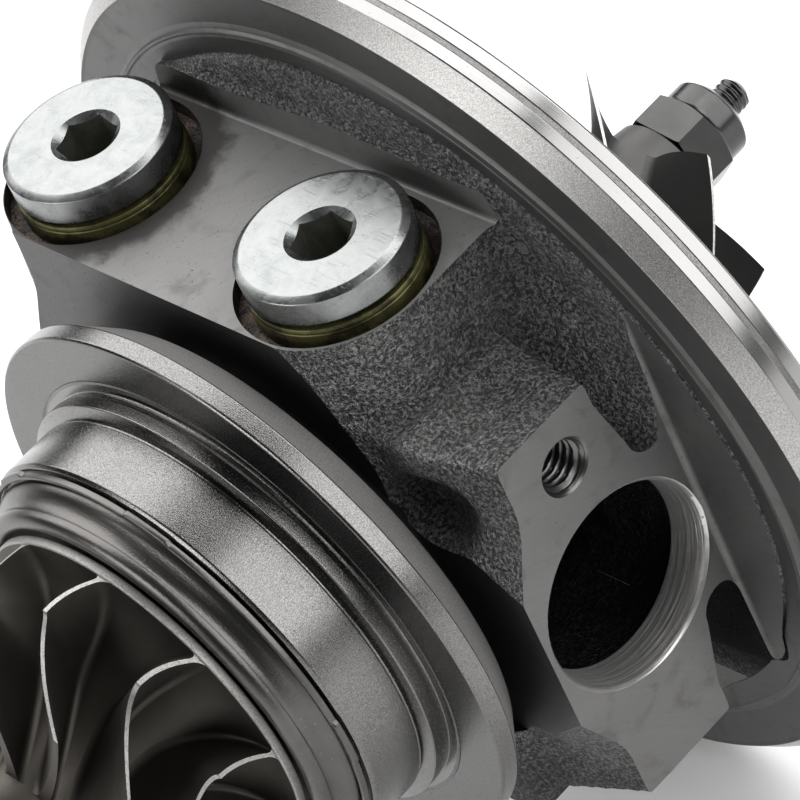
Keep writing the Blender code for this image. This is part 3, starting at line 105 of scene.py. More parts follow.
SHADE_PLACE = (0.0315, -0.032, -0.02)
MILL_CENTRE = (-0.03, -0.09, -0.07)
PLUG_SOOT_RADII = (15.3, 17.6)


class Wire:
    """One output of a shader node. Arithmetic on it adds Math nodes to the same material."""

    def __init__(self, tree, socket):
        self.tree = tree
        self.socket = socket

    def node(self, kind, sockets, outlet=0, **settings):
        """Adds a node of any kind: its settings first, then the values or links of its sockets."""
        made = self.tree.nodes.new("ShaderNode" + kind)
        for key, value in settings.items():
            setattr(made, key, value)
        for key, value in sockets.items():
            if isinstance(value, Wire):
                self.tree.links.new(value.socket, made.inputs[key])
            else:
                made.inputs[key].default_value = value
        return Wire(self.tree, made.outputs[outlet])

    def maths(self, operation, *values):
        return self.node("Math", dict(enumerate(values)), operation=operation)

    def parts(self):
        """The wires of a vector's X, Y and Z."""
        split = self.node("SeparateXYZ", {0: self}).socket.node
        return [Wire(self.tree, outlet) for outlet in split.outputs]

    def distance(self, place):
        """How far a vector lies from a fixed place."""
        return self.node("VectorMath", {0: self, 1: place}, 1, operation="DISTANCE")

    def stretched(self, scale):
        """A vector scaled along each axis, which draws a noise out where the scale is small."""
        return self.node("Mapping", {"Vector": self, "Scale": scale})

    def __add__(self, other):
        return self.maths("ADD", self, other)

    def __radd__(self, other):
        return self.maths("ADD", other, self)

    def __sub__(self, other):
        return self.maths("SUBTRACT", self, other)

    def __rsub__(self, other):
        return self.maths("SUBTRACT", other, self)

    def __mul__(self, other):
        return self.maths("MULTIPLY", self, other)

    def __pow__(self, other):
        return self.maths("POWER", self, other)


def new_finish(name, metallic=1.0):
    """A material and the wire of its Object coordinates."""
    material = bpy.data.materials.new(name)
    material.use_nodes = True
    tree = material.node_tree
    tree.nodes["Principled BSDF"].inputs["Metallic"].default_value = metallic
    return material, Wire(tree, tree.nodes.new("ShaderNodeTexCoord").outputs["Object"])


def feed(material, *wires):
    """Links wires to the shader's colour, roughness and normal, and returns the material."""
    tree = material.node_tree
    for key, wire in zip(("Base Color", "Roughness", "Normal"), wires):
        tree.links.new(wire.socket, tree.nodes["Principled BSDF"].inputs[key])
    return material


def noise(place, size, detail=3.0, rough=0.55, distortion=0.0):
    """Cloudy noise whose features are about size millimetres wide, from 0 to 1."""
    sockets = {"Vector": place, "Scale": 1.0 / (size * MM), "Detail": detail, "Roughness": rough}
    return place.node("TexNoise", sockets | {"Distortion": distortion})


def step_mask(value, low, high):
    """0 below low, 1 above high and smooth between."""
    sockets = {0: value, 1: low, 2: high, 3: 0.0, 4: 1.0}
    return value.node("MapRange", sockets, interpolation_type="SMOOTHSTEP")


def blend(mask, first, second):
    """The first colour where the mask is 0 and the second where it is 1."""
    return mask.node("Mix", {0: mask, 6: first, 7: second}, 2, data_type="RGBA")


def bump(height, depth, strength=1.0):
    """Normal of a height from 0 to 1 that stands depth millimetres high."""
    return height.node("Bump", {"Strength": strength, "Distance": depth * MM, "Height": height})


def grey(level, warmth=0.0):
    """A linear colour of that level, warmer above zero and cooler below."""
    return (level * (1.0 + warmth), level, level * (1.0 - warmth), 1.0)


def drain_shade(place):
    """Painted shade in the hollow between the drain pad and the disc, and a lighter painted shade underneath.
    """
    ragged = noise(place, 6.0) * (6.0 * MM)
    outside = step_mask(place.distance(SHADE_PLACE) + ragged, 10.0 * MM, 19.0 * MM)
    above = step_mask(place.parts()[2] + ragged, -24.0 * MM, -14.0 * MM)
    return 1.0 - outside * (above * 0.55 + 0.45)


def cast_skin_finish(name, level=1.0):
    """Shot-blasted casting skin: near-black iron in fine wrinkled grains that catch the light."""
    material, place = new_finish(name, 0.9)
    grain = noise(place, 0.4, 3.0, 0.6, 0.2)
    fine = noise(place, 0.16, 2.0, 0.6)
    broad = noise(place, 7.0)
    shade = drain_shade(place)
    crest = step_mask(grain * 0.65 + fine * 0.35, 0.42, 0.66)
    dark = blend(step_mask(broad, 0.35, 0.7), grey(0.055 * level), grey(0.085 * level, 0.02))
    # Painted shade: the skin's colour falls to near black in the drain hollow, and partly on the underside.
    colour = blend(shade, blend(crest, dark, grey(0.34 * level, 0.01)), grey(0.004))
    roughness = 0.36 - crest * 0.1 + shade * 0.45
    return feed(material, colour, roughness, bump(grain * 0.9 + fine * 0.3 + broad * 2.0, 0.75))


def cut_iron_finish(name, marks, level, rough, metallic=1.0, soot=None, depth=0.02):
    """Cut iron: a grey ground with tool marks, open graphite pits, cloudy stains and oily soot."""
    material, place = new_finish(name, metallic)
    lines = marks(place)
    pits = step_mask(noise(place, 0.3, 2.0, 0.6), 0.66, 0.74)
    clouds = noise(place, 11.0, 3.0, 0.5, 0.6)
    stain = step_mask(noise(place, 4.0, 4.0, 0.6, 0.8), 0.5, 0.8)
    colour = blend(clouds * 0.5 + lines * 0.5, grey(level * 0.74, 0.02), grey(level * 1.24, 0.01))
    colour = blend(stain * 0.5, colour, grey(level * 0.5, 0.05))
    colour = blend(pits * 0.75, colour, grey(0.2 * level))
    if soot:
        colour = blend(soot(place) * 0.85, colour, grey(0.02, 0.1))
    roughness = rough + lines * 0.08 + stain * 0.08 + pits * 0.2
    return feed(material, colour, roughness, bump(lines - pits * 0.4, depth))


def turning_marks(place):
    """Fine rings about the shaft: noise that depends on the place along the shaft and the radius."""
    along, across, up = place.parts()
    radius = (across * across + up * up) ** 0.5
    drift = noise(place, 30.0, 1.0) * (0.5 * MM)
    ring_place = place.node("CombineXYZ", {0: along, 1: radius, 2: drift})
    return noise(ring_place, 0.5, 2.0, 0.6) * 0.55 + noise(ring_place, 0.14, 1.0) * 0.45


def boring_marks(place):
    """Rings that a boring bar leaves down the drain, which runs along Y."""
    return noise(place.stretched((0.04, 1.0, 0.04)), 0.45, 3.0, 0.6)


def milling_marks(place):
    """Shallow arcs that a wide face mill leaves: rings about a centre far outside the pad."""
    reach = place.distance(MILL_CENTRE)
    return noise(place.node("CombineXYZ", {0: reach, 1: noise(place, 20.0) * MM}), 0.35, 3.0, 0.6)


def plug_soot(place):
    """Oily soot that has crept out round the outer plug, with a ragged edge."""
    x, y, _ = place.parts()
    along, across = x - PLUG_X * MM, y - PLUG_Y[0] * MM
    reach = (along * along + across * across) ** 0.5 + noise(place, 3.0, 4.0, 0.6) * (5.0 * MM)
    return 1.0 - step_mask(reach, *(radius * MM for radius in PLUG_SOOT_RADII))


def joined(first, second, fillet):
    """Smooth smaller of two distance fields, which rounds the inner corner by about the fillet."""
    share = np.clip(0.5 + 0.5 * (second - first) / fillet, 0.0, 1.0)
    return second + (first - second) * share - fillet * share * (1.0 - share)


def trimmed(first, second, edge):
    """Smooth larger of two distance fields, which rounds the outer corner by about the edge."""
    return -joined(-first, -second, edge)


def slab(place, low, high):
    """Distance outside the space between two parallel planes."""
    return np.maximum(low - place, place - high)


def drum_field(x, y, z):
    """Neck, drum and cone about the shaft, and the back land of the disc."""
    radius = np.hypot(y, z)
    wall = np.interp(x, (8.0, 12.0, 16.0, 25.0, 31.5), (NECK_RADIUS, 26.4, DRUM_RADIUS, DRUM_RADIUS, 37.0))
    drum = np.maximum((radius - wall) * 0.85, x - BLOCK_X[1])
    back = LAND_X + LAND_SLOPE * (radius - NECK_RADIUS)
    land = trimmed(np.maximum(back - x, x - 36.4), radius - LAND_RADIUS, 0.5)
    return joined(drum, land, 2.0)


def plug_block_field(x, y, z):
    """Block under the plug pad, and the round boss under the outer plug.

    The block's drafted side is a plane towards the disc and a cone about the inner plug before it.
    """
    inner_y = PLUG_Y[1]
    beyond = np.maximum(inner_y - y, 0.0)
    across = np.where(x < PLUG_X, np.hypot(np.where(y < inner_y, x - PLUG_X, 0.0), beyond), beyond)
    side = (across - (inner_y - PLUG_PAD_EDGE_Y)) * math.cos(SHOULDER_DRAFT)
    side = side + (z - PLUG_PAD_Z) * math.sin(SHOULDER_DRAFT)
    tall = slab(z, 6.0, PLUG_PAD_Z + STOCK)
    block = np.maximum(trimmed(side, slab(x, *BLOCK_X), 0.8), tall)
    boss_wall = PLUG_BOSS_RADIUS + PLUG_BOSS_DRAFT * (PLUG_PAD_Z - z)
    boss = np.maximum(np.hypot(x - PLUG_X, y - PLUG_Y[0]) - boss_wall, tall)
    return joined(np.maximum(block, y - BLOCK_SIDE_Y), boss, 2.0)


def near_rim_field(x, y, z):
    """Shoulder behind the turbine end on the side away from the drain, which slopes to the drum."""
    wall = NEAR_RIM_RADIUS - 0.8 * np.clip(x - 11.5, 0.0, 20.0)
    shoulder = np.maximum((np.hypot(y, z) - wall) * 0.8, slab(x, BLOCK_X[0], 22.0))
    return trimmed(shoulder, 12.0 - y, 2.0)


def drain_boss_field(x, y, z):
    """Drain pad with its ears and wall, less the two slots that part it from the disc.

    The wall's two near corners are cut off by sloping planes that fall back from the pad's edge. A crest
    runs along the top where it meets the block.
    """
    inward = np.clip(y - DRAIN_PAD_Y, 0.0, 30.0)
    near_x = DRAIN_EAR_X - 0.3 * np.minimum(inward, CREST_DEPTH)
    crest = CREST_HEIGHT * np.exp(-(((inward - CREST_DEPTH) / CREST_WIDTH) ** 2))
    high_z = DRAIN_EAR_Z[1] + 0.12 * inward + crest
    low_z = DRAIN_EAR_Z[0] - 0.12 * inward
    ears = trimmed(np.maximum(near_x - x, x - DRAIN_END_X), np.maximum(low_z - z, z - high_z), 0.6)
    fall = 0.8 * np.minimum(inward, 6.0)
    upper = 0.914 * (12.3 - x) + 0.406 * (z - 14.2 - fall)
    lower = 0.892 * (12.7 - x) - 0.452 * (z + 20.2 + fall)
    wall = trimmed(slab(x, 7.0, DRAIN_END_X), trimmed(upper, lower, 1.0), 1.5)
    pad = joined(ears, np.maximum(wall, np.abs(z - DRAIN_Z) - 20.0), 1.0)
    for centre, outward in zip(DRAIN_SLOT_Z[::-1], (1.0, -1.0)):
        beyond = np.maximum((centre - z) * outward, 0.0)
        flare = np.clip(0.12 * np.maximum((z - centre) * outward, 0.0), 0.0, 0.9)
        reach = DRAIN_SLOT_RADIUS + flare - 0.05 * inward
        slot = np.hypot(x - DRAIN_SLOT_X + flare, beyond) - reach
        pad = trimmed(pad, -slot, 0.5)
    return np.maximum(pad, slab(y, DRAIN_PAD_Y - STOCK, -12.0))


def feed_boss_field(x, y, z):
    """Round boss that carries the oil feed, opposite the drain."""
    wall = FEED_BOSS_RADIUS + 0.1 * np.clip(FEED_FACE_Y - y, 0.0, 20.0)
    return np.maximum(np.hypot(x - PLUG_X, z) - wall, slab(y, 10.0, FEED_FACE_Y + STOCK))


def coolant_pad_field(x, y, z):
    """Drafted pad on the underside, which carries the two coolant ports in use."""
    inward = np.clip(z - COOLANT_PAD_Z, 0.0, 30.0)
    sides = trimmed(np.abs(y) - COOLANT_PAD_HALF_WIDTH - 0.1 * inward, slab(x, *BLOCK_X), 1.2)
    return np.maximum(sides, slab(z, COOLANT_PAD_Z - STOCK, -9.0))


def casting_field(x, y, z):
    """Signed distance, in millimetres, to the casting before any machining."""
    body = joined(drum_field(x, y, z), plug_block_field(x, y, z), 2.4)
    body = joined(body, drain_boss_field(x, y, z), 1.0)
    offset = [(place - middle) / size for place, middle, size in zip((x, y, z), HOLLOW_PLACE, HOLLOW_SIZE)]
    hollow = (np.sqrt(offset[0] ** 2 + offset[1] ** 2 + offset[2] ** 2) - 1.0) * HOLLOW_SIZE[2]
    body = trimmed(body, -hollow, 1.2)
    body = joined(body, near_rim_field(x, y, z), 1.5)
    body = joined(body, feed_boss_field(x, y, z), 4.0)
    return trimmed(joined(body, coolant_pad_field(x, y, z), 4.0), CASTING_END_X - x, 0.8)


def skin_of(field, low, cell):
    """Closed quad skin where a sampled field changes sign.

    Each grid cell that the surface crosses gets one point, the mean of the crossings on its edges. Each
    grid edge that is crossed gets one quad between the four cells round it, turned by the sign of the
    field at the edge's start.
    """
    inside = field < 0.0
    cells = np.array(field.shape) - 1
    total = np.zeros((cells.prod(), 3))
    count = np.zeros(cells.prod())
    rings = []
    for axis in range(3):
        starts, ends = [slice(None)] * 3, [slice(None)] * 3
        starts[axis], ends[axis] = slice(0, -1), slice(1, None)
        starts, ends = tuple(starts), tuple(ends)
        place = np.argwhere(inside[starts] != inside[ends])
        here = tuple(place.T)
        start, end = field[starts][here], field[ends][here]
        crossing = place.astype(float)
        crossing[:, axis] += start / (start - end)
        ring = []
        for step_u, step_v in ((0, 0), (-1, 0), (-1, -1), (0, -1)):
            corner = place.copy()
            corner[:, (axis + 1) % 3] += step_u
            corner[:, (axis + 2) % 3] += step_v
            number = np.ravel_multi_index(tuple(corner.T), cells)
            np.add.at(total, number, crossing)
            np.add.at(count, number, 1.0)
            ring.append(number)
        quads = np.stack(ring, axis=1)
        inward = start >= 0.0
        quads[inward] = quads[inward][:, ::-1]
        rings.append(quads)
    used = count > 0
    numbers = np.cumsum(used) - 1
    return total[used] / count[used][:, None] * cell + low, numbers[np.concatenate(rings)]


def add_piece(name, surface, finish, sharp_angle=35.0):
    """A mesh object from points in millimetres and rows of corner numbers, turned to face outwards."""
    points, faces = surface
    rows = np.concatenate([faces[:, (0, 1, 2)], faces[:, (0, 2, 3)]])
    first, second, third = (points[rows[:, corner]] for corner in range(3))
    if np.einsum("ij,ij->", first, np.cross(second, third)) < 0.0:
        faces = faces[:, ::-1]
    mesh = bpy.data.meshes.new(name)
    mesh.from_pydata(points * MM, [], faces.tolist())
    mesh.update()
    work = bmesh.new()
    work.from_mesh(mesh)
    bmesh.ops.remove_doubles(work, verts=work.verts, dist=1e-8)
    bmesh.ops.dissolve_degenerate(work, edges=work.edges, dist=1e-8)
    work.to_mesh(mesh)
    work.free()
    mesh.materials.append(finish)
    mesh.shade_smooth()
    mesh.set_sharp_from_angle(angle=math.radians(sharp_angle))
    piece = bpy.data.objects.new(name, mesh)
    bpy.context.scene.collection.objects.link(piece)
    return piece


def eased(profile, radius, steps=3):
    """A closed profile with every corner replaced by a parabola that touches both of its sides."""
    corners = np.array(profile, float)
    before = np.roll(corners, 1, axis=0) - corners
    after = np.roll(corners, -1, axis=0) - corners
    length_before = np.linalg.norm(before, axis=1)
    length_after = np.linalg.norm(after, axis=1)
    reach = np.minimum(radius, 0.4 * np.minimum(length_before, length_after))
    start = corners + before / length_before[:, None] * reach[:, None]
    end = corners + after / length_after[:, None] * reach[:, None]
    share = np.linspace(0.0, 1.0, steps + 1)[None, :, None]
    curve = (1 - share) ** 2 * start[:, None] + 2 * share * (1 - share) * corners[:, None]
    curve = curve + share**2 * end[:, None]
    return curve.reshape(-1, 2)


def woven(rings, facets, closed=True):
    """Quads between successive rings of points, and from the last ring back to the first if closed."""
    near = np.arange(rings if closed else rings - 1)[:, None] * facets
    far = (near + facets) % (rings * facets)
    here = np.arange(facets)[None, :]
    there = (here + 1) % facets
    return np.stack([near + here, near + there, far + there, far + here], axis=2).reshape(-1, 4)


def turned(along, radius, turn):
    """Rows of points at places along the X axis, at a radius, turned about the axis from +Z."""
    rows = np.broadcast_arrays(along, -radius * np.sin(turn), radius * np.cos(turn))
    return np.stack(rows, axis=2)


def circle(count):
    """Equal steps of angle once round."""
    return np.linspace(0.0, 2 * math.pi, count, endpoint=False)


def ring_surface(profile, facets):
    """A closed profile of (place along the axis, radius) carried once round the X axis."""
    points = turned(profile[:, :1], profile[:, 1:], circle(facets))
    return points.reshape(-1, 3), woven(len(profile), facets)


def stood(surface, place, along):
    """A surface turned so that +X lies along a direction, then moved to a place."""
    turn = np.array(Vector((1.0, 0.0, 0.0)).rotation_difference(Vector(along)).to_matrix())
    return surface[0] @ turn.T + np.array(place), surface[1]


def prism_surface(outline, axis, low, high):
    """A closed outline in two directions carried along the third, with fans of quads at its ends."""
    outline = np.array(outline, float)
    middle = outline * 0 + outline.mean(axis=0)
    layers = []
    for level, ring in ((low, middle), (low, outline), (high, outline), (high, middle)):
        layers.append(np.insert(ring, "XYZ".index(axis), level, axis=1))
    return np.concatenate(layers), woven(4, len(outline), False)


def cut(piece, name, surface, finish, operation="DIFFERENCE"):
    """Cuts a closed tool shape out of a piece, whose new faces take the tool's finish."""
    tool = add_piece(name, surface, finish, 180.0)
    step = piece.modifiers.new(name, "BOOLEAN")
    step.operation = operation
    step.solver = "MANIFOLD"
    step.material_mode = "TRANSFER"
    step.object = tool
    bpy.context.view_layer.update()
    result = bpy.data.meshes.new_from_object(piece.evaluated_get(bpy.context.evaluated_depsgraph_get()))
    piece.modifiers.remove(step)
    old = piece.data
    piece.data = result
    bpy.data.meshes.remove(old)
    bpy.data.objects.remove(tool)


SKIN_LOW = np.array([6.6, -46.3, -46.3])
SKIN_HIGH = np.array([37.6, 46.3, 46.3])
skin_steps = np.ceil((SKIN_HIGH - SKIN_LOW) / SKIN_CELL).astype(int)
skin_axes = [SKIN_LOW[axis] + SKIN_CELL * np.arange(skin_steps[axis] + 1) for axis in range(3)]
skin_grid = np.meshgrid(*skin_axes, indexing="ij", sparse=True)
CAST_SKIN = cast_skin_finish("cast_iron_skin")
# A much darker copy of the cast skin for the drain bore's mouth and the oil cavity: painted shade inside the
# housing.
PAINTED_SHADE_SKIN = cast_skin_finish("cast_skin_painted_shade", 0.11)
MILLED_IRON = cut_iron_finish("milled_iron", milling_marks, 0.155, 0.48, 0.85)
PAD_IRON = cut_iron_finish("milled_pad", milling_marks, 0.175, 0.5, 0.58, plug_soot)
TURNED_IRON = cut_iron_finish("turned_iron", turning_marks, 0.18, 0.28)
# A much darker copy of turned iron for the near face and the neck behind the flange: painted shade.
PAINTED_SHADE_NEAR_IRON = cut_iron_finish("shaded_near_face_iron", turning_marks, 0.046, 0.34, 0.7)
# A far brighter copy of cut iron for the drain bore: painted light that stands for light reaching down the
# bore.
PAINTED_LIGHT_BORE_IRON = cut_iron_finish("bore_iron_painted_light", boring_marks, 0.62, 0.28, 0.75, depth=0.14)
TAPPED_IRON = cut_iron_finish("tapped_iron", boring_marks, 0.15, 0.3)
cast_body = add_piece("cast_body", skin_of(casting_field(*skin_grid), SKIN_LOW, SKIN_CELL), CAST_SKIN, 60.0)

FAR_OUT = 70.0
MILL_START_X = -6.0


def mill_path(wall_x, edge, far_edge, corner):
    """Outline of a mill's path whose corner between the wall and the milled face is rounded."""
    inward = corner if far_edge > edge else -corner
    turn = np.linspace(0.0, math.pi / 2, 7)
    arc = [(wall_x - corner + corner * math.cos(t), edge + inward - inward * math.sin(t)) for t in turn]
    return [(MILL_START_X, far_edge), (wall_x, far_edge), *arc, (MILL_START_X, edge)]


near_face = [(-FAR_OUT, NEAR_FACE_LOW_Z), (FAR_OUT, NEAR_FACE_LOW_Z), (FAR_OUT, FAR_OUT), (-FAR_OUT, FAR_OUT)]
cut(cast_body, "near_face_tool", prism_surface(near_face, "X", -5.0, NEAR_FACE_X), PAINTED_SHADE_NEAR_IRON)
for name, path, axis, finish in (
        ("plug_pad_tool", mill_path(MILL_WALL_X - 0.75, PLUG_PAD_Z, FAR_OUT, 0.6), "Y", PAD_IRON),
        ("coolant_pad_tool", mill_path(MILL_WALL_X, COOLANT_PAD_Z, -FAR_OUT, 1.0), "Y", MILLED_IRON),
        ("drain_pad_tool", mill_path(MILL_WALL_X, DRAIN_PAD_Y, -FAR_OUT, 0.8), "Z", MILLED_IRON)):
    cut(cast_body, name, prism_surface(path, axis, -FAR_OUT, FAR_OUT), finish)

AXIS_RADIUS = 0.01
SPOT_FACE_RADIUS = 11.1
SPOT_FACE_DEPTH = 1.9
PLUG_HOLE_RADIUS = 7.2


def round_tool(profile, place, along, facets=128):
    """A turned tool from a profile of (depth, radius), entering at a place along a direction."""
    closed = [(profile[0][0], AXIS_RADIUS), *profile, (profile[-1][0], AXIS_RADIUS)]
    return stood(ring_surface(np.array(closed, float), facets), place, along)


def bore(name, profile, place, along, finish, facets=128):
    """Cuts a turned tool out of the cast body."""
    cut(cast_body, name, round_tool(profile, place, along, facets), finish)


def rusty_seat_finish():
    """Spot face round a plug: brown-black oil varnish and rust over rough iron."""
    material, place = new_finish("varnished_seat", 0.5)
    grain = noise(place, 0.5, 3.0, 0.6)
    patches = step_mask(noise(place, 1.6), 0.4, 0.65)
    colour = blend(patches, (0.02, 0.016, 0.013, 1.0), (0.09, 0.058, 0.042, 1.0))
    return feed(material, colour, 0.32 + grain * 0.2, bump(grain, 0.3))


RUSTY_SEAT = rusty_seat_finish()
spot = [(-2.0, SPOT_FACE_RADIUS), (SPOT_FACE_DEPTH, SPOT_FACE_RADIUS), (SPOT_FACE_DEPTH, PLUG_HOLE_RADIUS),
        (11.0, PLUG_HOLE_RADIUS)]
for centre_y in PLUG_Y:
    bore("spot_face_tool", spot, (PLUG_X, centre_y, PLUG_PAD_Z), (0, 0, -1), RUSTY_SEAT)
port = [(-2.0, 9.2), (0.6, 9.2), (0.6, COOLANT_PORT_RADIUS + 0.8), (1.4, COOLANT_PORT_RADIUS),
        (12.0, COOLANT_PORT_RADIUS)]
for centre_y in COOLANT_PORT_Y:
    bore("coolant_port_tool", port, (PLUG_X, centre_y, COOLANT_PAD_Z), (0, 0, 1), MILLED_IRON)
feed_face = [(-16.0, 12.4), (0.0, 12.4)]
feed_port = [(-2.0, 6.1), (0.6, 6.1), (0.6, FEED_HOLE_RADIUS + 0.6), (1.2, FEED_HOLE_RADIUS),
             (14.0, FEED_HOLE_RADIUS)]
for name, profile in (("feed_face_tool", feed_face), ("feed_port_tool", feed_port)):
    bore(name, profile, (PLUG_X, FEED_FACE_Y, 0.0), (0, -1, 0), MILLED_IRON)

BORE_DEPTH = 4.6
BORE_CHAMFER = 0.5
BORE_END_RADIUS = DRAIN_BORE_RADIUS - 0.45
CAVITY_X = (10.6, 28.6)
CAVITY_HALF_HEIGHT = 9.2
CAVITY_INNER_Y = -9.9
drain_bore = [(-0.3, DRAIN_BORE_RADIUS + BORE_CHAMFER + 0.3), (BORE_CHAMFER, DRAIN_BORE_RADIUS),
              (BORE_DEPTH, BORE_END_RADIUS)]
cavity_mouth = [(BORE_DEPTH - 0.05, BORE_END_RADIUS), (BORE_DEPTH + 0.3, DRAIN_BORE_RADIUS - 0.2),
                (BORE_DEPTH + 3.0, DRAIN_BORE_RADIUS - 0.3), (BORE_DEPTH + 7.0, CAVITY_HALF_HEIGHT)]
for name, profile, finish in (
        ("drain_bore_tool", drain_bore, PAINTED_LIGHT_BORE_IRON), ("cavity_mouth_tool", cavity_mouth, PAINTED_SHADE_SKIN)):
    bore(name, profile, (DRAIN_X, DRAIN_PAD_Y, DRAIN_Z), (0, 1, 0), finish, 192)


def rounded_square(turn):
    """Two coordinates, from -1 to 1, of a square with very round corners at an angle round it."""
    return [np.sign(part) * np.abs(part) ** 0.5 for part in (np.cos(turn), np.sin(turn))]


cavity_across, cavity_up = rounded_square(circle(72))
cavity_outline = np.stack([
    np.mean(CAVITY_X) + (CAVITY_X[1] - CAVITY_X[0]) / 2 * cavity_across,
    DRAIN_Z + CAVITY_HALF_HEIGHT * cavity_up], axis=1)
cavity = prism_surface(cavity_outline, "Y", DRAIN_PAD_Y + BORE_DEPTH, CAVITY_INNER_Y)
cut(cast_body, "oil_cavity_tool", cavity, PAINTED_SHADE_SKIN)

SCREW_HOLE_PLACE = (19.7, DRAIN_PAD_Y, 15.5)
THREAD_RADIUS = 3.0
thread_mouth = [(-2.0, THREAD_RADIUS + 2.2), (0.25, THREAD_RADIUS), (9.6, THREAD_RADIUS)]
bore("drain_screw_tool", thread_mouth, SCREW_HOLE_PLACE, (0, 1, 0), TAPPED_IRON, 96)
inner_bores = [(5.0, 6.5), (25.4, 6.5), (25.4, 14.3), (31.0, 14.3), (31.0, 21.0), (40.0, 21.0)]
bore("bearing_bore_tool", inner_bores, (0, 0, 0), (1, 0, 0), TURNED_IRON)


def settle(piece, sharp_angle=35.0):
    """Smooth shading that leaves flat faces flat, after all cuts."""
    piece.data.shade_smooth()
    piece.data.set_sharp_from_angle(angle=math.radians(sharp_angle))
    even = piece.modifiers.new("even_shading", "WEIGHTED_NORMAL")
    even.keep_sharp = True
    even.weight = 90


settle(cast_body, 42.0)
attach(cast_body, "housing")
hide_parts("bearing_housing")

# Turned turbine end of the housing
# The same casting, turned all over: clamp flange with its bevelled back, a step that centres the turbine
# housing, and the long spigot whose front edge the heat shield's ring sits in.
FLANGE_RADIUS = 34.5
FLANGE_RIM = 2.2
FLANGE_BEVEL = 3.7
BEVEL_END_X = FLANGE_RIM + FLANGE_BEVEL
STEP_RADIUS = 27.5
STEP_X = -2.4
SPIGOT_RADIUS = 26.2
SPIGOT_EDGE_X = SPIGOT_FACE_X - 0.8
SEAL_BORE_RADIUS = 8.4


def blasted_iron_finish(name, level, rough=0.36, metallic=1.0):
    """Turned iron after blasting: grainy, with open pits and faint clouds."""
    material, place = new_finish(name, metallic)
    grain = noise(place, 0.13, 2.0, 0.7)
    pits = step_mask(noise(place, 0.2, 1.0, 0.5), 0.6, 0.8)
    ground = blend(noise(place, 9.0, 2.0), grey(level * 0.64, 0.03), grey(level * 0.9, 0.02))
    speckled = blend(step_mask(grain, 0.42, 0.6), ground, grey(level * 1.3, 0.02))
    colour = blend(pits * 0.4, speckled, grey(level * 0.4))
    return feed(material, colour, rough + pits * 0.2, bump(grain - pits * 0.4, 0.018))


def ground_iron_finish():
    """Ground rim of the disc: smooth and bright, with very fine rings and a few pits."""
    material, place = new_finish("ground_iron")
    lines = turning_marks(place)
    pits = step_mask(noise(place, 0.28, 2.0), 0.7, 0.76)
    bright = blend(noise(place, 12.0, 2.0), grey(0.24, 0.01), grey(0.34, 0.01))
    return feed(material, blend(pits * 0.6, bright, grey(0.1)), 0.16 + lines * 0.06, bump(lines, 0.006, 0.8))


def finish_band(piece, finish, x_range, radius_range):
    """Gives a finish to faces of the first finish whose middle lies in a band along and round the shaft."""
    piece.data.materials.append(finish)
    count = len(piece.data.polygons)
    centre = np.empty(count * 3)
    piece.data.polygons.foreach_get("center", centre)
    centre = centre.reshape(-1, 3) / MM
    index = np.empty(count, np.int32)
    piece.data.polygons.foreach_get("material_index", index)
    chosen = index == 0
    for value, (low, high) in ((centre[:, 0], x_range), (np.hypot(centre[:, 1], centre[:, 2]), radius_range)):
        chosen &= (value > low) & (value < high)
    index[chosen] = len(piece.data.materials) - 1
    piece.data.polygons.foreach_set("material_index", index)


flange_profile = eased([
    (SPIGOT_EDGE_X, 21.9), (SPIGOT_EDGE_X, SPIGOT_RADIUS - 0.4), (SPIGOT_EDGE_X + 0.4, SPIGOT_RADIUS),
    (STEP_X - 0.9, SPIGOT_RADIUS), (STEP_X - 0.9, SPIGOT_RADIUS - 0.35), (STEP_X - 0.5, SPIGOT_RADIUS - 0.35),
    (STEP_X, STEP_RADIUS), (-0.9, STEP_RADIUS), (-0.55, STEP_RADIUS - 0.25), (0.0, STEP_RADIUS - 0.2),
    (0.0, STEP_RADIUS + 0.9), (0.12, STEP_RADIUS + 1.1), (0.0, STEP_RADIUS + 1.3),
    (0.0, FLANGE_RADIUS - 0.25), (0.25, FLANGE_RADIUS), (FLANGE_RIM, FLANGE_RADIUS),
    (BEVEL_END_X, FLANGE_RADIUS - FLANGE_BEVEL), (7.6, NECK_RADIUS + 1.2), (10.0, NECK_RADIUS), (10.4, 22.0),
    (10.4, 6.5), (-0.9, 6.5), (-0.9, SEAL_BORE_RADIUS), (SPIGOT_FACE_X, SEAL_BORE_RADIUS),
    (SPIGOT_FACE_X, 13.0), (-4.1, 14.0), (-4.1, 20.9)], 0.14)
BLASTED_END = blasted_iron_finish("blasted_end", 0.16, 0.18)
BLASTED_FLANGE = blasted_iron_finish("blasted_flange", 0.1, 0.26)
BLASTED_BEVEL = blasted_iron_finish("blasted_bevel", 0.2, 0.5, 0.45)
turned_end = add_piece("turned_end", ring_surface(flange_profile, 256), BLASTED_END, 50.0)
finish_band(turned_end, BLASTED_FLANGE, (-0.1, FLANGE_RIM + 0.1), (28.0, FLANGE_RADIUS - 0.3))
# The neck takes the darker near-face copy: painted shade.
finish_band(turned_end, PAINTED_SHADE_NEAR_IRON, (BEVEL_END_X - 0.1, 10.5), (20.0, FLANGE_RADIUS))
finish_band(turned_end, BLASTED_BEVEL, (FLANGE_RIM + 0.1, BEVEL_END_X - 0.1), (30.0, FLANGE_RADIUS - 0.05))
settle(turned_end, 50.0)
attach(turned_end, "housing")
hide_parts("bearing_housing")

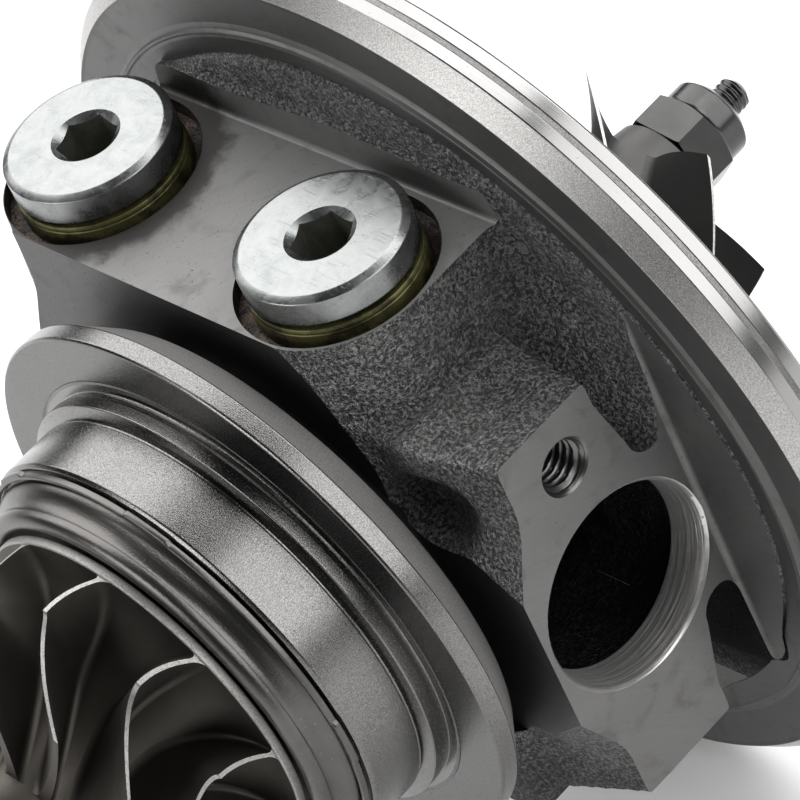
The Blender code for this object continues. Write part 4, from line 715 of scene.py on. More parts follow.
# Turned disc of the housing
# The wide disc that closes the compressor housing. Its back is turned from the cast land outwards, with a
# raised line, a sunk ring and a bevel, and its rim has two ground lands beside a snap-ring groove.
RIDGE_RADIUS = 47.7
ANNULUS_X = 33.3
BEVEL_RADIUS = 53.5
NEAR_LAND_X = ANNULUS_X + 2.0
GROOVE_X = NEAR_LAND_X + 1.4
FAR_LAND_X = GROOVE_X + 0.75
GROOVE_DEPTH = 0.07
GROOVE_RADIUS = DISC_RADIUS - GROOVE_DEPTH
disc_profile = eased([
    (35.0, 30.0), (33.1, 43.0), (33.15, 44.6), (32.75, 47.0), (32.85, RIDGE_RADIUS - 0.3),
    (32.55, RIDGE_RADIUS - 0.15), (32.55, RIDGE_RADIUS + 0.1), (33.0, RIDGE_RADIUS + 0.3),
    (ANNULUS_X, RIDGE_RADIUS + 0.8), (ANNULUS_X, BEVEL_RADIUS - 0.35), (ANNULUS_X - 0.12, BEVEL_RADIUS),
    (NEAR_LAND_X, DISC_RADIUS), (GROOVE_X, DISC_RADIUS), (GROOVE_X + 0.08, GROOVE_RADIUS),
    (FAR_LAND_X - 0.08, GROOVE_RADIUS), (FAR_LAND_X, DISC_RADIUS), (DISC_FACE_X - 0.3, DISC_RADIUS),
    (DISC_FACE_X, DISC_RADIUS - 0.3), (DISC_FACE_X, 41.0), (DISC_FACE_X - 0.8, 40.2),
    (DISC_FACE_X - 0.8, 19.6), (DISC_FACE_X - 1.1, 19.3), (38.0, 19.3), (38.0, 20.6), (36.4, 20.6),
    (36.4, 19.3), (35.0, 19.3)], 0.12)
DISC_IRON = cut_iron_finish("turned_disc_back", turning_marks, 0.11, 0.4, 0.85)
turned_disc = add_piece("turned_disc", ring_surface(disc_profile, 320), DISC_IRON, 50.0)
for finish, x_range, radius_range in (
        (blasted_iron_finish("rough_turned_bevel", 0.42),
         (ANNULUS_X - 0.1, NEAR_LAND_X), (BEVEL_RADIUS, DISC_RADIUS - 0.02)),
        (blasted_iron_finish("blasted_groove", 0.16),
         (GROOVE_X + 0.04, FAR_LAND_X - 0.04), (DISC_RADIUS - 0.2, DISC_RADIUS - 0.5 * GROOVE_DEPTH)),
        (ground_iron_finish(),
         (NEAR_LAND_X - 0.05, DISC_FACE_X - 0.2), (DISC_RADIUS - 0.2, DISC_RADIUS + 0.1))):
    finish_band(turned_disc, finish, x_range, radius_range)
settle(turned_disc, 50.0)
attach(turned_disc, "housing")
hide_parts("bearing_housing")

# Port plugs
# Two hexagon socket screw plugs that close the upper coolant ports, turned and cold formed from steel and
# bright zinc plated. Each clamps a soft washer under its thick collar.
COLLAR_TOP_Z = node_box("port_plug_1")[1][2]
COLLAR_RADIUS = 9.5
COLLAR_HEIGHT = 3.8
HEX_ACROSS_FLATS = 6.0
HEX_DEPTH = 5.6
SOCKET_MOUTH_RADIUS = 4.3
PLUG_TURNS = (22.0, 26.0)


def zinc_finish(name, level):
    """Bright zinc on turned steel: pale and slightly green, with fine scratches and cloudy patches."""
    material, place = new_finish(name)
    clouds = step_mask(noise(place, 2.2, 5.0, 0.65, 0.4), 0.2, 0.8)
    scratches = step_mask(noise(place.stretched((1.0, 0.06, 1.0)), 0.25, 2.0), 0.62, 0.7)
    pits = step_mask(noise(place, 0.35, 2.0), 0.68, 0.74)
    ground = blend(clouds, (0.66 * level, 0.7 * level, 0.67 * level, 1.0), grey(level * 1.02, -0.01))
    height = scratches * 0.4 + clouds * 0.8 - pits * 0.4
    roughness = 0.21 + clouds * 0.15 + scratches * 0.1
    return feed(material, blend(pits * 0.4, ground, grey(level * 0.5)), roughness, bump(height, 0.018, 0.8))


def socket_shade_finish():
    """Inside of a hexagon socket: dark walls that are painted shade down the socket."""
    material, place = new_finish("socket_painted_shade", 0.8)
    streaks = noise(place.stretched((1.0, 1.0, 0.15)), 0.3, 2.0)
    # Painted shade: the walls' colour is kept dark for the shade down the socket.
    colour = blend(noise(place, 1.2, 3.0, 0.6), (0.08, 0.084, 0.074, 1.0), (0.24, 0.24, 0.21, 1.0))
    return feed(material, colour, 0.3 + streaks * 0.2, bump(streaks, 0.05, 0.7))


def hexagon(across_flats, turn, centre=(0.0, 0.0)):
    """Corners of a regular hexagon turned by an angle in degrees."""
    angles = np.radians(turn + 60.0 * np.arange(6))
    corner = across_flats / math.sqrt(3)
    return np.stack([centre[0] + corner * np.cos(angles), centre[1] + corner * np.sin(angles)], axis=1)


ZINC = zinc_finish("bright_zinc", 0.3)
FORMED_ZINC = zinc_finish("formed_zinc", 0.26)
PAINTED_SHADE_SOCKET = socket_shade_finish()
plug_profile = eased([
    (COLLAR_HEIGHT, AXIS_RADIUS), (COLLAR_HEIGHT, COLLAR_RADIUS - 0.85), (COLLAR_HEIGHT - 0.5, COLLAR_RADIUS),
    (0.35, COLLAR_RADIUS), (0.0, COLLAR_RADIUS - 0.35), (0.0, 6.9), (-8.0, 6.9), (-8.0, AXIS_RADIUS)], 0.12)
plug_profile[:, 1] = np.maximum(plug_profile[:, 1], AXIS_RADIUS)
mouth = [(-1.0, SOCKET_MOUTH_RADIUS + 1.0), (0.9, 2.6)]
for number, (centre_y, turn) in enumerate(zip(PLUG_Y, PLUG_TURNS), start=1):
    base = (PLUG_X, centre_y, COLLAR_TOP_Z - COLLAR_HEIGHT)
    plug = add_piece(f"zinc_plug_{number}", stood(ring_surface(plug_profile, 128), base, (0, 0, 1)), ZINC)
    outline = hexagon(HEX_ACROSS_FLATS, turn, (PLUG_X, centre_y))
    socket = prism_surface(outline, "Z", COLLAR_TOP_Z - HEX_DEPTH, COLLAR_TOP_Z + 2.0)
    cut(plug, "hex_tool", socket, PAINTED_SHADE_SOCKET)
    cut(plug, "mouth_tool", round_tool(mouth, (PLUG_X, centre_y, COLLAR_TOP_Z), (0, 0, -1), 96), FORMED_ZINC)
    settle(plug, 30.0)
    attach(plug, "housing")
    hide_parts(f"port_plug_{number}")

# Plug washers
# Soft sealing washers under the plug collars, punched from sheet, with a yellow-olive passivated film that
# is rubbed at the rim.
WASHER_RADIUS = 9.6
WASHER_HOLE_RADIUS = 7.3
WASHER_BASE_Z = PLUG_PAD_Z - SPOT_FACE_DEPTH + 0.1


def washer_finish():
    """Olive film over zinc: yellow-green, darker in patches and brighter where it is rubbed."""
    material, place = new_finish("olive_film", 0.75)
    clouds = noise(place, 2.4, 4.0, 0.6, 0.6)
    rubs = step_mask(noise(place, 0.7), 0.6, 0.75)
    dark_patches = step_mask(noise(place, 3.2, 4.0, 0.65), 0.42, 0.6)
    film = blend(clouds, (0.06, 0.057, 0.024, 1.0), (0.22, 0.215, 0.085, 1.0))
    colour = blend(rubs * 0.4, film, (0.36, 0.36, 0.2, 1.0))
    # Darker in random patches.
    colour = blend(dark_patches * 0.85, colour, (0.03, 0.024, 0.017, 1.0))
    return feed(material, colour, 0.4 + clouds * 0.2, bump(clouds * 0.5 + rubs * 0.3, 0.04, 0.6))


OLIVE = washer_finish()
top = node_box("plug_washer_1")[1][2] - WASHER_BASE_Z
washer_profile = eased([
    (0.0, WASHER_HOLE_RADIUS), (0.0, WASHER_RADIUS), (top - 0.75, WASHER_RADIUS),
    (top - 0.6, WASHER_RADIUS - 0.12), (top - 0.45, WASHER_RADIUS), (top, WASHER_RADIUS - 0.1),
    (top, WASHER_HOLE_RADIUS)], 0.12)
for number, centre_y in enumerate(PLUG_Y, start=1):
    surface = stood(ring_surface(washer_profile, 128), (PLUG_X, centre_y, WASHER_BASE_Z), (0, 0, 1))
    washer = add_piece(f"olive_washer_{number}", surface, OLIVE)
    settle(washer)
    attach(washer, "housing")
    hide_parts(f"plug_washer_{number}")

# Thread of the drain screw hole
# An M6 thread tapped into the drain pad. It is a separate sleeve here whose outside stays inside the wall
# of the drilled hole.
THREAD_PITCH = 1.0
THREAD_DEPTH = 0.55
THREAD_LENGTH = 9 * THREAD_PITCH
THREAD_FACETS = 72
SLEEVE_RADIUS = 3.2
SLEEVE_START = 0.3
SLEEVE_LEAD = 0.35
thread_along = np.linspace(0.0, THREAD_LENGTH, 91)[:, None]
thread_angle = circle(THREAD_FACETS)[None, :]
thread_phase = (thread_along / THREAD_PITCH + thread_angle / (2 * math.pi)) % 1.0
thread_tooth = np.clip(1.6 - 3.2 * np.abs(thread_phase - 0.5), 0.0, 1.0)
thread_lead = np.clip(1.0 - thread_along / 0.8, 0.0, 1.0)
thread_inner = THREAD_RADIUS - 0.02 - THREAD_DEPTH * thread_tooth * (1.0 - thread_lead)
sleeve_radius = np.concatenate([thread_inner, np.full((2, THREAD_FACETS), SLEEVE_RADIUS)])
sleeve_along = np.concatenate([thread_along, [[THREAD_LENGTH], [SLEEVE_LEAD]]]) + SLEEVE_START
sleeve_points = turned(sleeve_along, sleeve_radius, thread_angle).reshape(-1, 3)
sleeve = sleeve_points, woven(len(sleeve_along), THREAD_FACETS)
drain_thread = add_piece("drain_thread", stood(sleeve, SCREW_HOLE_PLACE, (0, 1, 0)), TAPPED_IRON, 40.0)
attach(drain_thread, "housing")

# Heat shield
# A dish pressed from thin stainless sheet that keeps exhaust heat off the bearings. Its rolled crest
# stands round the turbine wheel, and its outer lip clips to the spigot.
SHIELD_THICKNESS = 0.6
SEAT_RADIUS = 24.6
SEAT_X = -10.3
CREST_X = -14.7
CREST_RADIUS = 22.4
CREST_BEND = 0.9
SHIELD_FLOOR_X = -11.7
SHIELD_HOLE_RADIUS = 9.7


def stainless_finish():
    """Satin pressed sheet: drawn rings, a faint warm heat tint and soft dents."""
    material, place = new_finish("satin_stainless")
    lines = turning_marks(place)
    clouds = noise(place, 7.0, 3.0, 0.5, 0.5)
    specks = step_mask(noise(place, 0.35, 2.0), 0.66, 0.74)
    colour = blend(specks * 0.5, blend(clouds, grey(0.08, 0.02), grey(0.14, 0.05)), grey(0.22))
    height = lines * 0.3 + noise(place, 0.22, 2.0, 0.6) * 0.7 + clouds * 1.2
    return feed(material, colour, 0.24 + lines * 0.14, bump(height, 0.05, 0.8))


STAINLESS = stainless_finish()
crest_turn = np.radians(np.linspace(70, 265, 22))
lip_line = [(SEAT_X, SEAT_RADIUS), (SEAT_X - 0.8, SEAT_RADIUS - 0.1), (SEAT_X - 1.3, SEAT_RADIUS - 0.5),
            (SEAT_X - 1.9, SEAT_RADIUS - 1.0), (SEAT_X - 2.6, SEAT_RADIUS - 1.25)]
crest_line = np.stack([CREST_X + CREST_BEND + CREST_BEND * np.cos(crest_turn),
                       CREST_RADIUS + CREST_BEND * np.sin(crest_turn)], axis=1)
floor_line = [(CREST_X + 1.2, CREST_RADIUS - 1.25), (SHIELD_FLOOR_X - 0.5, CREST_RADIUS - 2.4),
              (SHIELD_FLOOR_X, CREST_RADIUS - 3.4), (SHIELD_FLOOR_X, SHIELD_HOLE_RADIUS)]
shield_line = np.concatenate([lip_line, crest_line, floor_line])
shield_run = np.gradient(shield_line, axis=0)
shield_run /= np.linalg.norm(shield_run, axis=1)[:, None]
shield_across = np.stack([-shield_run[:, 1], shield_run[:, 0]], axis=1) * SHIELD_THICKNESS / 2
shield_profile = np.concatenate([shield_line + shield_across, (shield_line - shield_across)[::-1]])
shield = add_piece("pressed_shield", ring_surface(shield_profile, 256), STAINLESS, 60.0)
settle(shield, 60.0)
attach(shield, "housing")
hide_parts("heat_shield")

# Spring ring
# A flat wire ring of spring steel that holds the shield in the spigot, with raised tabs on its rim.
RING_INNER = 25.2
RING_X = -10.4
RING_WIDTH = 0.8
RING_HEIGHT = 0.5
RING_FACETS = 720
WIRE_FACETS = 16
TAB_HEIGHT = 0.35
TAB_SPAN = math.radians(14)
TAB_SLOPE = math.radians(0.7)
TAB_ANGLES = np.radians([-34.0, 19.0, 89.0])
ring_turn = circle(RING_FACETS)
tab_apart = np.abs((ring_turn[:, None] - TAB_ANGLES[None, :] + math.pi) % (2 * math.pi) - math.pi)
tab_rise = np.clip((TAB_SPAN / 2 - tab_apart.min(axis=1)) / TAB_SLOPE, 0.0, 1.0)
section_x, section_r = rounded_square(circle(WIRE_FACETS)[:, None])
ring_height = RING_HEIGHT + TAB_HEIGHT * tab_rise[None, :]
wire_radius = RING_INNER + ring_height / 2 * (1.0 + section_r)
wire_points = turned(RING_X - RING_WIDTH / 2 + RING_WIDTH / 2 * section_x, wire_radius, ring_turn)
wire = wire_points.reshape(-1, 3), woven(WIRE_FACETS, RING_FACETS)
spring = add_piece("wire_ring", wire, STAINLESS, 50.0)
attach(spring, "housing")
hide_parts("spring_ring")

# Turbine wheel
# Investment cast in nickel alloy and friction welded to the shaft. The faces keep their dark cast skin,
# while the rim and the blade edges are ground to size.
TURBINE_BLADES = 10
TURBINE_RADIUS = 21.2
RIM_X = -15.0
RIM_END_X = RIM_X - 1.0
TURBINE_HUB_RADIUS = 6.4
TURBINE_EXIT_X = -33.6
NOSE_X = node_box("turbine_wheel")[0][0]
INLET_TIP = (-22.1, 20.4)
EXIT_TIP = (-31.4, 17.6)
TURBINE_PHASE = math.radians(13.6)
TURBINE_LEAN = math.radians(-7.5)
TURBINE_TURNING = math.radians(29.5)


def cast_alloy_finish():
    """Dark brown-grey cast skin with a soft gloss and faint mould texture."""
    material, place = new_finish("cast_nickel_skin")
    clouds = noise(place, 5.0, 3.0, 0.5, 0.4)
    grain = noise(place, 0.3, 2.0)
    colour = blend(clouds, (0.06, 0.055, 0.049, 1.0), (0.11, 0.102, 0.091, 1.0))
    return feed(material, colour, 0.42 + grain * 0.18, bump(grain * 0.5 + clouds, 0.03, 0.6))


def ground_edge_finish(name, level):
    """Ground edge: bright and streaked along the grinding direction."""
    material, place = new_finish(name)
    lines = turning_marks(place)
    specks = step_mask(noise(place, 0.16, 2.0), 0.5, 0.66)
    ground = blend(lines, grey(level * 0.8, 0.03), grey(level * 1.2, 0.03))
    colour = blend(specks * 0.6, ground, grey(level * 0.35))
    return feed(material, colour, 0.4 + lines * 0.16, bump(lines + specks, 0.015, 0.7))


def quarter_curve(start, end, share, radius_first):
    """Quarter ellipse from start to end in (x, radius), as two arrays."""
    lead, lag = np.sin(share * math.pi / 2), 1.0 - np.cos(share * math.pi / 2)
    along_x, along_r = (lag, lead) if radius_first else (lead, lag)
    return start[0] + (end[0] - start[0]) * along_x, start[1] + (end[1] - start[1]) * along_r


def blade_surface(hub, shroud, angle, thickness, offset, fillet, layers, sink, stations=44):
    """Closed blade between a hub line and a shroud line, and which of its faces are ground.

    A point at share s along the blade and height h lies between the two lines. It is turned about the
    shaft by the camber angle at s, and moved sideways by half the thickness. Below the fillet's radius the
    thickness flares as a circle that touches the hub.
    """
    share = np.linspace(0.0, 1.0, stations + 1)[:, None]
    hub_x, hub_r = hub(share)
    tip_x, tip_r = shroud(share)
    span = np.hypot(tip_x - hub_x, tip_r - hub_r)
    bend = np.linspace(0.0, math.pi / 2, 5)[None, :]
    foot = np.minimum(fillet * (1.0 - np.cos(bend)), 0.5 * span)
    rise = foot[:, -1:] + (span - foot[:, -1:]) * np.linspace(0.0, 1.0, layers + 1)[None, 1:]
    height = np.concatenate([np.full_like(foot[:, :1], -sink), foot, rise], axis=1)
    level = height / span
    x = hub_x + (tip_x - hub_x) * level
    radius = hub_r + (tip_r - hub_r) * level
    near_hub = np.clip(1.0 - height / fillet, 0.0, 1.0)
    half = thickness(share, level) / 2 + fillet * (1.0 - np.sqrt(1.0 - near_hub**2))
    turns = [angle(share, level) + offset + side * half / radius for side in (-1.0, 1.0)]
    left, right = (turned(x, radius, turn) for turn in turns)
    points = np.concatenate([left, right[::-1]], axis=0).transpose(1, 0, 2).reshape(-1, 3)
    rows, columns = x.shape
    around = 2 * rows
    sides = woven(columns, around, False)
    strip = np.arange(rows - 1)
    opposite = around - 1 - strip
    cap = np.stack([strip, strip + 1, opposite - 1, opposite], axis=1)
    faces = np.concatenate([sides, cap + (columns - 1) * around, cap[:, ::-1]])
    ground = np.zeros(len(faces), bool)
    ground[around - 1:len(sides):around] = True
    ground[len(sides):len(sides) + len(cap)] = True
    return points, faces, ground


def wheel_of_blades(name, blades, cast_finish, edge_finish):
    """One mesh of all the blades of a wheel, their ground faces in the edge finish."""
    points, faces, ground = zip(*blades)
    starts = np.cumsum([0] + [len(part) for part in points[:-1]])
    faces = np.concatenate([part + start for part, start in zip(faces, starts)])
    piece = add_piece(name, (np.concatenate(points), faces), cast_finish, 40.0)
    piece.data.materials.append(edge_finish)
    piece.data.polygons.foreach_set("material_index", np.concatenate(ground).astype(np.int32))
    settle(piece, 40.0)
    return piece


def turbine_hub(share):
    return quarter_curve((RIM_END_X, TURBINE_RADIUS - 0.3), (TURBINE_EXIT_X, TURBINE_HUB_RADIUS), share, True)


def turbine_shroud(share):
    return quarter_curve(INLET_TIP, EXIT_TIP, share, True)


def turbine_angle(share, level):
    """Camber angle by depth from the rim: leans one way up to the blade tip, then turns the other way."""
    x = turbine_hub(share)[0] + (turbine_shroud(share)[0] - turbine_hub(share)[0]) * level
    lean = np.clip((RIM_END_X - x) / (RIM_END_X - INLET_TIP[0]), 0.0, 1.0)
    turning = np.clip((INLET_TIP[0] - x) / (INLET_TIP[0] - EXIT_TIP[0]), 0.0, None)
    return TURBINE_PHASE + TURBINE_LEAN * (1.0 - (1.0 - lean) ** 2) + TURBINE_TURNING * turning**1.5


def turbine_thickness(share, level):
    """Thin all along the ground edges, and thicker towards the hub behind the inlet."""
    return 0.55 + 0.8 * (1.0 - np.clip(level, 0.0, 1.0)) * np.clip(share / 0.3, 0.0, 1.0)


CAST_ALLOY = cast_alloy_finish()
GROUND_ALLOY = ground_edge_finish("ground_nickel", 0.36)
turbine_lines = (turbine_hub, turbine_shroud, turbine_angle, turbine_thickness)
turbine_blades = [blade_surface(*turbine_lines, turn, 0.75, 14, 0.6) for turn in circle(TURBINE_BLADES)]
turbine_vanes = wheel_of_blades("turbine_vanes", turbine_blades, CAST_ALLOY, GROUND_ALLOY)
back = [(-13.7, AXIS_RADIUS), (-13.7, 8.3), (-14.4, 9.3), (RIM_X + 0.2, TURBINE_RADIUS - 0.4),
        (RIM_X + 0.05, TURBINE_RADIUS - 0.08), (RIM_X - 0.1, TURBINE_RADIUS),
        (RIM_END_X + 0.1, TURBINE_RADIUS), (RIM_END_X, TURBINE_RADIUS - 0.12)]
nose = [(NOSE_X + 3.0, TURBINE_HUB_RADIUS - 0.05), (NOSE_X + 1.6, TURBINE_HUB_RADIUS - 0.5),
        (NOSE_X + 0.5, TURBINE_HUB_RADIUS - 1.5), (NOSE_X, TURBINE_HUB_RADIUS - 2.6), (NOSE_X, AXIS_RADIUS)]
hub_line = np.stack(turbine_hub(np.linspace(0.0, 1.0, 40)), axis=1)
turbine_profile = np.concatenate([back, hub_line, nose])
turbine_body = add_piece("turbine_hub", ring_surface(turbine_profile, 192), CAST_ALLOY, 40.0)
finish_band(turbine_body, GROUND_ALLOY, (-FAR_OUT, RIM_X + 0.1), (TURBINE_RADIUS - 0.35, FAR_OUT))
settle(turbine_body, 40.0)
for piece in (turbine_vanes, turbine_body):
    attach(piece, "rotor")
    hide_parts("turbine_wheel")

# Compressor wheel
# Cast aluminium alloy, with full blades and splitters between them. The shroud edges are turned bright
# and the inlet edges keep the cast skin.
COMPRESSOR_BLADES = 12
COMPRESSOR_RADIUS = 25.6
BACK_X = 41.3
BACK_RIM_X = BACK_X + 1.1
EXIT_WIDTH = 3.4
INLET_X = 64.4
INLET_RADIUS = 16.6
COMPRESSOR_HUB_RADIUS = 6.3
FRONT_X = node_box("compressor_wheel")[1][0]
FRONT_RADIUS = 5.9
COMPRESSOR_PHASE = math.radians(55)
COMPRESSOR_WRAP = math.radians(62)
INLET_LEAN = math.radians(-16)
BACKSWEEP = math.radians(14)
SPLITTER_START = 0.27
WHEEL_BORE_RADIUS = 2.6


def cast_aluminium_finish():
    """Cast aluminium: mid grey satin with a fine blasted grain."""
    material, place = new_finish("cast_aluminium_skin", 0.7)
    clouds = noise(place, 6.0)
    grain = noise(place, 0.25, 2.0)
    colour = blend(clouds, grey(0.055, 0.02), grey(0.085, 0.02))
    return feed(material, colour, 0.36 + grain * 0.16, bump(grain * 0.6 + clouds * 0.4, 0.02, 0.6))


def compressor_hub(share, first=0.0):
    """Hub line of a blade that starts at a share of the full blade's length."""
    place = first + (1.0 - first) * share
    return quarter_curve((INLET_X, COMPRESSOR_HUB_RADIUS), (BACK_RIM_X, COMPRESSOR_RADIUS), place, False)


def compressor_shroud(share, first):
    place = first + (1.0 - first) * share
    return quarter_curve((INLET_X, INLET_RADIUS), (BACK_RIM_X + EXIT_WIDTH, COMPRESSOR_RADIUS), place, False)


def compressor_angle(share, level, first):
    """Camber angle: leans at the inlet, wraps quickly behind it, then sweeps back towards the rim."""
    place = first + (1.0 - first) * share
    lean = INLET_LEAN * (1.0 - level) * (1.0 - place) ** 2
    wrap = COMPRESSOR_WRAP * (1.0 - (1.0 - place) ** 2.2)
    return COMPRESSOR_PHASE + lean + wrap + BACKSWEEP * place**2


def compressor_thickness(share, level):
    return 1.0 - 0.55 * np.clip(level, 0.0, 1.0)


CAST_ALUMINIUM = cast_aluminium_finish()
TURNED_ALUMINIUM = ground_edge_finish("turned_aluminium", 0.55)
compressor_blades = []
for number, turn in enumerate(circle(COMPRESSOR_BLADES)):
    first = SPLITTER_START * (number % 2)
    lines = [partial(line, first=first) for line in (compressor_hub, compressor_shroud, compressor_angle)]
    compressor_blades.append(blade_surface(*lines, compressor_thickness, turn, 1.0, 12, 0.5))
compressor_vanes = wheel_of_blades("compressor_vanes", compressor_blades, CAST_ALUMINIUM, TURNED_ALUMINIUM)
back = [(40.7, WHEEL_BORE_RADIUS), (40.7, 7.0), (BACK_X, 9.0), (BACK_X, COMPRESSOR_RADIUS - 0.15),
        (BACK_X + 0.15, COMPRESSOR_RADIUS)]
front = [(FRONT_X - 0.2, FRONT_RADIUS), (FRONT_X, FRONT_RADIUS - 0.2), (FRONT_X, WHEEL_BORE_RADIUS)]
hub_line = np.stack(compressor_hub(np.linspace(1.0, 0.0, 44)), axis=1)
compressor_profile = np.concatenate([back, hub_line, front])
compressor_body = add_piece("compressor_hub", ring_surface(compressor_profile, 192), CAST_ALUMINIUM, 40.0)
settle(compressor_body, 40.0)
for piece in (compressor_vanes, compressor_body):
    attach(piece, "rotor")
    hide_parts("compressor_wheel")

# Shaft nut
# A thin hexagon against the wheel with a round crown in front, turned bright from steel. It is the last
# piece that goes on the shaft.
NUT_BACK_X, NUT_FRONT_X = (corner[0] for corner in node_box("shaft_nut"))
NUT_ACROSS_FLATS = 10.6
NUT_HEX_END = NUT_BACK_X + 4.9
CROWN_RADIUS = 4.9


def nut_finish():
    """Bright turned steel with faint rings."""
    material, place = new_finish("bright_turned_steel")
    lines = turning_marks(place)
    colour = blend(noise(place, 4.0), grey(0.045, 0.01), grey(0.085, 0.01))
    return feed(material, colour, 0.2 + lines * 0.1, bump(lines, 0.012, 0.6))


BRIGHT_STEEL = nut_finish()
nut_corner = NUT_ACROSS_FLATS / math.sqrt(3)
nut_profile = eased([
    (NUT_BACK_X, WHEEL_BORE_RADIUS), (NUT_BACK_X, nut_corner - 0.15), (NUT_BACK_X + 0.2, nut_corner + 0.15),
    (NUT_HEX_END - 0.7, nut_corner + 0.15), (NUT_HEX_END, CROWN_RADIUS + 0.1),
    (NUT_HEX_END + 0.4, CROWN_RADIUS), (NUT_FRONT_X - 1.0, CROWN_RADIUS), (NUT_FRONT_X, CROWN_RADIUS - 1.3),
    (NUT_FRONT_X, WHEEL_BORE_RADIUS)], 0.2, 4)
nut = add_piece("crown_nut", ring_surface(nut_profile, 128), BRIGHT_STEEL)
flats = prism_surface(hexagon(NUT_ACROSS_FLATS, 10.0), "X", NUT_BACK_X - 1.0, NUT_FRONT_X + 1.0)
cut(nut, "flats_tool", flats, BRIGHT_STEEL, "INTERSECT")
settle(nut, 30.0)
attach(nut, "rotor")
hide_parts("shaft_nut")

# Shaft
# Ground steel, from the turbine hub through both bushes to the threaded end that the nut goes on.
SHAFT_START_X, SHAFT_END_X = (corner[0] for corner in node_box("rotor_shaft"))
STUB_RADIUS = 2.0
STUB_START_X = NUT_FRONT_X - 2.0
STUB_PITCH = 0.8
shaft_plain = [
    (SHAFT_START_X, AXIS_RADIUS), (SHAFT_START_X, 8.3), (-6.3, 8.3), (-6.3, 6.8), (-5.0, 6.8), (-5.0, 8.3),
    (-1.2, 8.3), (-1.2, 5.0), (-0.2, 4.0), (10.4, 4.0), (10.4, 3.7), (17.1, 3.7), (17.1, 4.0), (25.4, 4.0),
    (25.4, STUB_RADIUS), (STUB_START_X, STUB_RADIUS)]
stub_x = np.arange(NUT_FRONT_X - 1.98, SHAFT_END_X - 0.45, 0.05)
shaft_stub = np.stack([stub_x, np.full(len(stub_x), STUB_RADIUS)], axis=1)
shaft_tip = [(SHAFT_END_X - 0.4, STUB_RADIUS - 0.3), (SHAFT_END_X, STUB_RADIUS - 0.7),
             (SHAFT_END_X, AXIS_RADIUS)]
shaft_points, shaft_faces = ring_surface(np.concatenate([shaft_plain, shaft_stub, shaft_tip]), 96)
shaft_x = shaft_points[:, 0]
shaft_turn = np.arctan2(-shaft_points[:, 1], shaft_points[:, 2]) / (2 * math.pi)
threaded = (shaft_x > STUB_START_X + 0.01) & (shaft_x < SHAFT_END_X - 0.42)
tooth = np.abs((shaft_x / STUB_PITCH + shaft_turn) % 1.0 - 0.5) * 2.0
shrink = np.where(threaded, 1.0 - 0.09 * np.clip(1.3 * tooth - 0.15, 0.0, 1.0), 1.0)
shaft_points[:, 1:] *= shrink[:, None]
shaft = add_piece("ground_shaft", (shaft_points, shaft_faces), BRIGHT_STEEL, 50.0)
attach(shaft, "rotor")
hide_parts("rotor_shaft")

# Bushes, thrust parts and seals
# The pieces inside the housing: brass floating bushes, bronze thrust bearing, hardened collar and sleeve,
# aluminium seal plate with its rubber ring, black circlips and cast-iron piston rings.
INNER_FINISHES = (
    ("turned_brass", (0.42, 0.27, 0.1), (0.6, 0.42, 0.2), 0.26, 1.0,
     ("turbine_side_bush", "compressor_side_bush")),
    ("ground_bronze", (0.34, 0.22, 0.1), (0.5, 0.34, 0.18), 0.3, 1.0, ("thrust_bearing",)),
    ("black_phosphate", (0.02, 0.02, 0.02), (0.06, 0.06, 0.06), 0.5, 0.6,
     ("bush_circlip_1", "bush_circlip_2", "bush_circlip_3", "seal_plate_retainer")),
    ("hardened_steel", (0.3, 0.3, 0.31), (0.42, 0.42, 0.43), 0.22, 1.0, ("thrust_collar", "seal_sleeve")),
    ("turned_plate", (0.32, 0.32, 0.32), (0.46, 0.46, 0.46), 0.32, 1.0, ("seal_plate", "oil_deflector")),
    ("ring_iron", (0.12, 0.12, 0.12), (0.22, 0.22, 0.22), 0.36, 1.0,
     ("turbine_piston_ring", "compressor_piston_ring")),
    ("moulded_rubber", (0.008, 0.008, 0.008), (0.02, 0.02, 0.02), 0.62, 0.0, ("seal_plate_o_ring",)),
)


def inner_finish(name, dark, light, rough, metallic):
    """A machined or moulded finish between two tones, with rings from turning."""
    material, place = new_finish(name, metallic)
    lines = turning_marks(place)
    colour = blend(noise(place, 3.0) * 0.6 + lines * 0.4, (*dark, 1.0), (*light, 1.0))
    return feed(material, colour, rough + lines * 0.12, bump(lines, 0.012, 0.6))


for *look, nodes in INNER_FINISHES:
    finish = inner_finish(*look)
    for node in nodes:
        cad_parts[node].data.materials.clear()
        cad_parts[node].data.materials.append(finish)

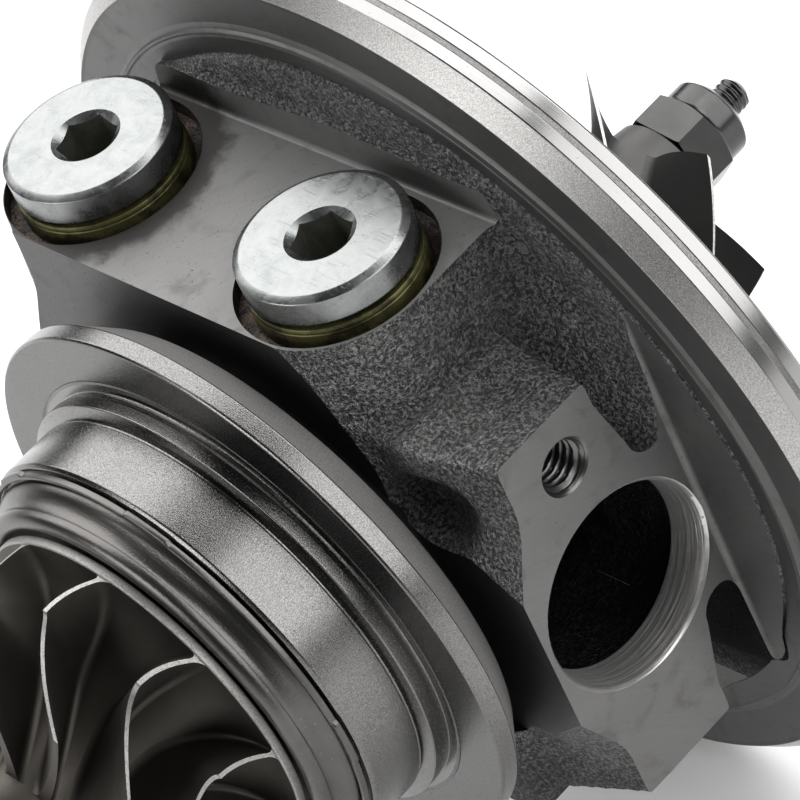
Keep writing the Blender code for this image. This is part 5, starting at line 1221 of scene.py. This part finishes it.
# Camera, floor and light
# The camera stands where the photograph was taken from. The floor is a wide pale sheet under the disc's
# lowest point, and large soft lights hang behind, in front, above and to the left.
CAMERA_PLACE = (-0.1887, -0.3922, 0.3839)
CAMERA_RIGHT = (0.6521, -0.6806, -0.3340)
CAMERA_UP = (0.6642, 0.3005, 0.6845)
CAMERA_BACK = (-0.3655, -0.6682, 0.6480)
FLOOR_HALF = 4.0
FLOOR_COLOUR = (0.95, 0.95, 0.95, 1.0)
AIM = (0.02, 0.0, 0.0)
SOFT_LIGHTS = (
    ("back_light", (0.32, 0.8, 0.95), AIM, 1.7, 1.5, 27.0),
    ("front_light", (0.5, -0.95, 0.72), AIM, 1.4, 1.2, 16.0),
    ("top_light", (0.33, -0.07, 0.36), (0.03, -0.02, 0.04), 0.18, 0.36, 0.8),
    ("left_light", (-1.25, 0.3, 0.55), AIM, 0.9, 0.6, 8.0),
)
BACKGROUND_STRENGTH = 0.06
scene = bpy.context.scene
camera_data = bpy.data.cameras.new("camera")
camera_data.sensor_width = 36.0
camera_data.lens = 252.0
camera_data.clip_start = 0.01
camera_data.clip_end = 20.0
camera = bpy.data.objects.new("camera", camera_data)
scene.collection.objects.link(camera)
camera_axes = Matrix((CAMERA_RIGHT, CAMERA_UP, CAMERA_BACK)).transposed()
camera.matrix_world = Matrix.Translation(CAMERA_PLACE) @ camera_axes.to_4x4()
scene.camera = camera
scene.view_settings.view_transform = "Standard"

floor_z = (HOUSING_LOW[2] - 0.05) * MM
floor_corners = [(x * FLOOR_HALF, y * FLOOR_HALF, floor_z) for x, y in ((-1, -1), (1, -1), (1, 1), (-1, 1))]
floor_mesh = bpy.data.meshes.new("floor")
floor_mesh.from_pydata(floor_corners, [], [(0, 1, 2, 3)])
floor = bpy.data.objects.new("floor", floor_mesh)
scene.collection.objects.link(floor)
floor_finish = bpy.data.materials.new("pale_floor")
floor_finish.use_nodes = True
floor_shader = floor_finish.node_tree.nodes["Principled BSDF"]
floor_shader.inputs["Base Color"].default_value = FLOOR_COLOUR
floor_shader.inputs["Roughness"].default_value = 0.9
floor_mesh.materials.append(floor_finish)

for name, place, aim, width, height, watts in SOFT_LIGHTS:
    light_data = bpy.data.lights.new(name, "AREA")
    light_data.shape = "RECTANGLE"
    light_data.size = width
    light_data.size_y = height
    light_data.energy = watts
    light = bpy.data.objects.new(name, light_data)
    light.location = place
    light.rotation_euler = (Vector(aim) - Vector(place)).to_track_quat("-Z", "Y").to_euler()
    scene.collection.objects.link(light)
world = bpy.data.worlds.new("studio")
world.use_nodes = True
background = world.node_tree.nodes["Background"]
background.inputs["Color"].default_value = (1.0, 1.0, 1.0, 1.0)
background.inputs["Strength"].default_value = BACKGROUND_STRENGTH
scene.world = world
